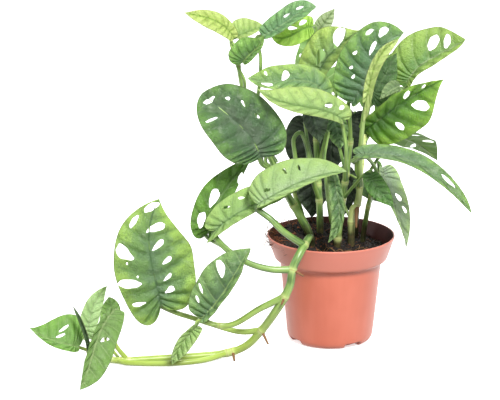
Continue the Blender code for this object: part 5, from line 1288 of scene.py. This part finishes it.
def crumbs(count, seed):
    rng = np.random.default_rng(seed)
    r = CRUMB_REACH * np.sqrt(rng.uniform(0, 1, count))
    a = rng.uniform(0, 2 * math.pi, count)
    x, y = r * np.cos(a), r * np.sin(a)
    size = 0.35 + 1.1 * rng.uniform(0, 1, count) ** 3      # most are small, mm
    x, y = inside(x, y, ground(x, y), 0.3 + size)
    places = np.stack([x, y, ground(x, y) + 0.25 * size], -1)
    points, faces = many(count, BLOCK, BLOCK_FACES, places, size, rng)
    return points, faces, toned(rng.uniform(0, 1, count), len(BLOCK))


def fibres(starts, aims, reach, droop, thick, tones, seed):
    """Thin strands, each a parabola: start + aim s + droop s^2, with a little wave, and four sides."""
    rng = np.random.default_rng(seed)
    count, steps = len(starts), FIBRE_STEPS
    s = np.linspace(0, 1, steps)[None, :, None]
    sway = rng.normal(size=(count, 1, 3)) * 0.14 * reach[:, None, None]
    path = starts[:, None] + aims[:, None] * reach[:, None, None] * s + sway * np.sin(s * 5.0)
    path[..., 2] -= droop[:, None] * s[..., 0] ** 2
    path[..., 0], path[..., 1] = inside(path[..., 0], path[..., 1], path[..., 2], 0.4)
    tangent = np.gradient(path, axis=1)
    side = unit(np.cross(tangent, rng.normal(size=(count, 1, 3))))
    up = unit(np.cross(side, tangent))
    r = thick[:, None, None] * np.linspace(1, 0.35, steps)[None, :, None]
    ring = np.stack([path + r * side, path + r * up, path - r * side, path - r * up], 2)
    n = np.arange(count * steps * 4).reshape(count, steps, 4)
    nxt = np.roll(n, -1, axis=2)
    faces = np.stack([n[:, :-1], nxt[:, :-1], nxt[:, 1:], n[:, 1:]], -1).reshape(-1, 4).tolist()
    faces += n[:, 0, ::-1].tolist() + n[:, -1].tolist()
    return ring.reshape(-1, 3), [tuple(q) for q in faces], toned(tones, steps * 4)


def tuft(count, turn, spread, inner, outer, rise, seed):
    """Fibres rooted between two radii, round one direction of the pot, that lean outwards."""
    rng = np.random.default_rng(seed)
    a = np.radians(turn) + rng.normal(0, math.radians(spread), count)
    r = rng.uniform(inner, outer, count)
    x, y = r * np.cos(a), r * np.sin(a)
    starts = np.stack([x, y, ground(x, y) - 0.6], -1)
    aims = unit(np.stack([np.cos(a), np.sin(a), np.full(count, rise)], -1) + rng.normal(0, 0.55, (count, 3)))
    reach = rng.uniform(3.0, 11.0, count)
    droop = rng.uniform(0.5, 5.0, count)
    thick = rng.uniform(0.10, 0.24, count)
    return fibres(starts, aims, reach, droop, thick, rng.uniform(0.55, 1.0, count), seed)


def soil_finish():
    """Nearly black moist peat, with browner crumbs and reddish fibres by each piece's own shade."""
    f = Finish("soil_mix")
    tone = f.own("shade").part("X")
    where = f.object()
    base = f.mix(f.noise(where, 260.0, 3.0).rise(0.35, 0.7), tint(17, 15, 14), tint(44, 38, 34))
    colour = f.mix(tone.rise(0.45, 0.85), base, tint(62, 46, 36))
    left = where.part("X").rise(0.01, -0.04)
    colour = f.mix(tone.rise(0.6, 0.95) * (left * 0.8 + 0.15), colour, tint(146, 84, 50))
    height = f.noise(where, 900.0, 4.0)
    return f.done(f.skin(colour, 0.85, Normal=f.bump(height, 0.8, 0.0006), Specular_IOR_Level=0.3))


# how many fibres, the direction and its spread in degrees, between which radii, how steep, and the seed
TUFTS = [(230, 165, 26, 44, 56, 0.35, 12), (120, 200, 14, 46, 57, 0.1, 13), (170, 190, 9, 51, 57, 0.45, 16),
         (90, 120, 40, 20, 50, 0.8, 14), (60, 330, 60, 8, 46, 0.9, 15)]
top, top_faces = soil_surface(rings=56, sides=200)
soil_parts = [(top, top_faces, toned(np.zeros(len(top)), 1)), crumbs(count=2600, seed=11)]
soil_parts += [tuft(*row) for row in TUFTS]
soil_piece = piece("soil_mix", *gathered(soil_parts), [soil_finish()], "soil", "soil")
print("soil:", len(soil_piece.data.polygons), "faces")

# %% [markdown]
# ## Fine roots
#
# A plant that has filled its pot sends thin dark roots up through the soil at its foot, and a few hang over
# the rim.  They are the same rods as the stalks, only much thinner.

# %% Fine roots
# points and radius of each root
ROOTS = [
    ([(-58, 4, 96), (-62, -2, 103), (-60, -6, 107), (-55, -5, 106), (-52, 0, 101), (-50, 4, 97)], 0.45),
    ([(-57, -14, 96), (-61.5, -16, 100), (-63.5, -17, 92), (-62, -18, 80), (-64, -18, 74)], 0.30),
    ([(-58, -8, 97), (-63, -10, 99), (-65, -11, 88), (-64, -11, 82)], 0.26),
    ([(-57, 2, 98), (-60, 8, 108), (-54, 12, 113), (-48, 8, 110), (-50, 4, 102)], 0.40),
    ([(-50, 14, 100), (-46, 12, 112), (-40, 8, 114), (-38, 6, 104)], 0.45),
    ([(-6, -30, 94), (-2, -34, 99), (4, -38, 95), (8, -42, 90)], 0.6),
    ([(2, -28, 93), (8, -33, 97), (14, -40, 92), (20, -44, 88)], 0.55),
    ([(10, -24, 92), (18, -30, 95), (28, -36, 90)], 0.65),
    ([(22, -16, 92), (30, -24, 96), (38, -32, 89)], 0.35),
    ([(-14, -34, 98), (-8, -44, 97), (2, -50, 90)], 0.3),
    ([(20, -6, 92), (26, -18, 97), (25, -28, 93), (30, -40, 88)], 0.3),
    ([(-2, -20, 94), (-6, -33, 99), (-10, -46, 95)], 0.3),
]
root_parts = []
for way, radius in ROOTS:
    path = curve_through(way, step=1.0)
    root_parts.append(rod(path, radius * np.linspace(1, 0.5, len(path)), sides=6, sort=ROOT))
piece("fine_roots", *gathered(root_parts), [stem_skin], "stem", None)
print("fine roots:", len(ROOTS))

# %% [markdown]
# ## Floor, light and camera
#
# The plant stands on a pale floor that runs into a white surround.  A soft lamp high in front and to the
# right gives the leaves their light and dark bands, and two weaker ones at the left and behind lift the
# shaded sides.  The floor glows for the camera alone, so the undersides of the leaves stay dark.  The camera
# is where the pot's two ellipses say that it was.

# %% Stage
FLOOR_GLOW, SURROUND_GLOW = 0.62, 0.38
# place and size in metres, and power in watts, of each lamp
LAMPS = {"key": ((0.45, -1.3, 1.45), 0.6, 54), "left": ((-1.3, -0.4, 0.9), 0.8, 10),
         "back": ((0.2, 1.3, 1.1), 0.9, 18)}
LAMPS_AIM = (-0.06, 0.0, 0.16)
CAMERA_PLACE = (-0.0767, -1.72, 0.614)
CAMERA_DOWN = 15.53      # degrees below the horizon
CAMERA_LENS = 136.3      # mm, for a sensor 36 mm wide

bpy.ops.mesh.primitive_plane_add(size=6.0)
floor = bpy.context.object
floor.name = "floor"
f = Finish("floor_white")
white = f.skin(tint(250, 250, 250), 0.9, Emission_Color=(1, 1, 1, 1), Emission_Strength=FLOOR_GLOW)
floor.data.materials.append(f.done(white))
floor.visible_diffuse = False      # the plant isn't lit from below
floor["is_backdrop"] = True

world = bpy.data.worlds.new("white_surround")
world.use_nodes = True
world.node_tree.nodes["Background"].inputs[0].default_value = (1, 1, 1, 1)
world.node_tree.nodes["Background"].inputs[1].default_value = SURROUND_GLOW
bpy.context.scene.world = world


def soft_lamp(name, place, size, power):
    data = bpy.data.lights.new(name, "AREA")
    data.shape = "DISK"
    data.size = size
    data.energy = power
    lamp = bpy.data.objects.new(name, data)
    bpy.context.scene.collection.objects.link(lamp)
    lamp.location = place
    way = np.array(LAMPS_AIM) - np.array(place)
    flat = math.hypot(way[0], way[1])
    lamp.rotation_euler = (math.atan2(flat, -way[2]), 0, math.atan2(-way[0], way[1]))


for name, lamp in LAMPS.items():
    soft_lamp(name, *lamp)

camera_data = bpy.data.cameras.new("camera")
camera_data.lens = CAMERA_LENS
camera_data.sensor_width = 36
camera = bpy.data.objects.new("camera", camera_data)
bpy.context.scene.collection.objects.link(camera)
camera.location = CAMERA_PLACE
camera.rotation_euler = (math.radians(90 - CAMERA_DOWN), 0, 0)
bpy.context.scene.camera = camera
bpy.context.scene.view_settings.view_transform = "Standard"
print("camera", CAMERA_PLACE, "looking", CAMERA_DOWN, "degrees down")

# %% [markdown]
# ## Sizes, and the end
#
# The dressed plant has to keep the size of its solids, so its box is printed, to set beside the solids' box
# printed at the start.

# %% Print the dressed box and finish
seen_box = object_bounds()
print("dressed box from", [round(v, 3) for v in seen_box[0]], "to", [round(v, 3) for v in seen_box[1]])
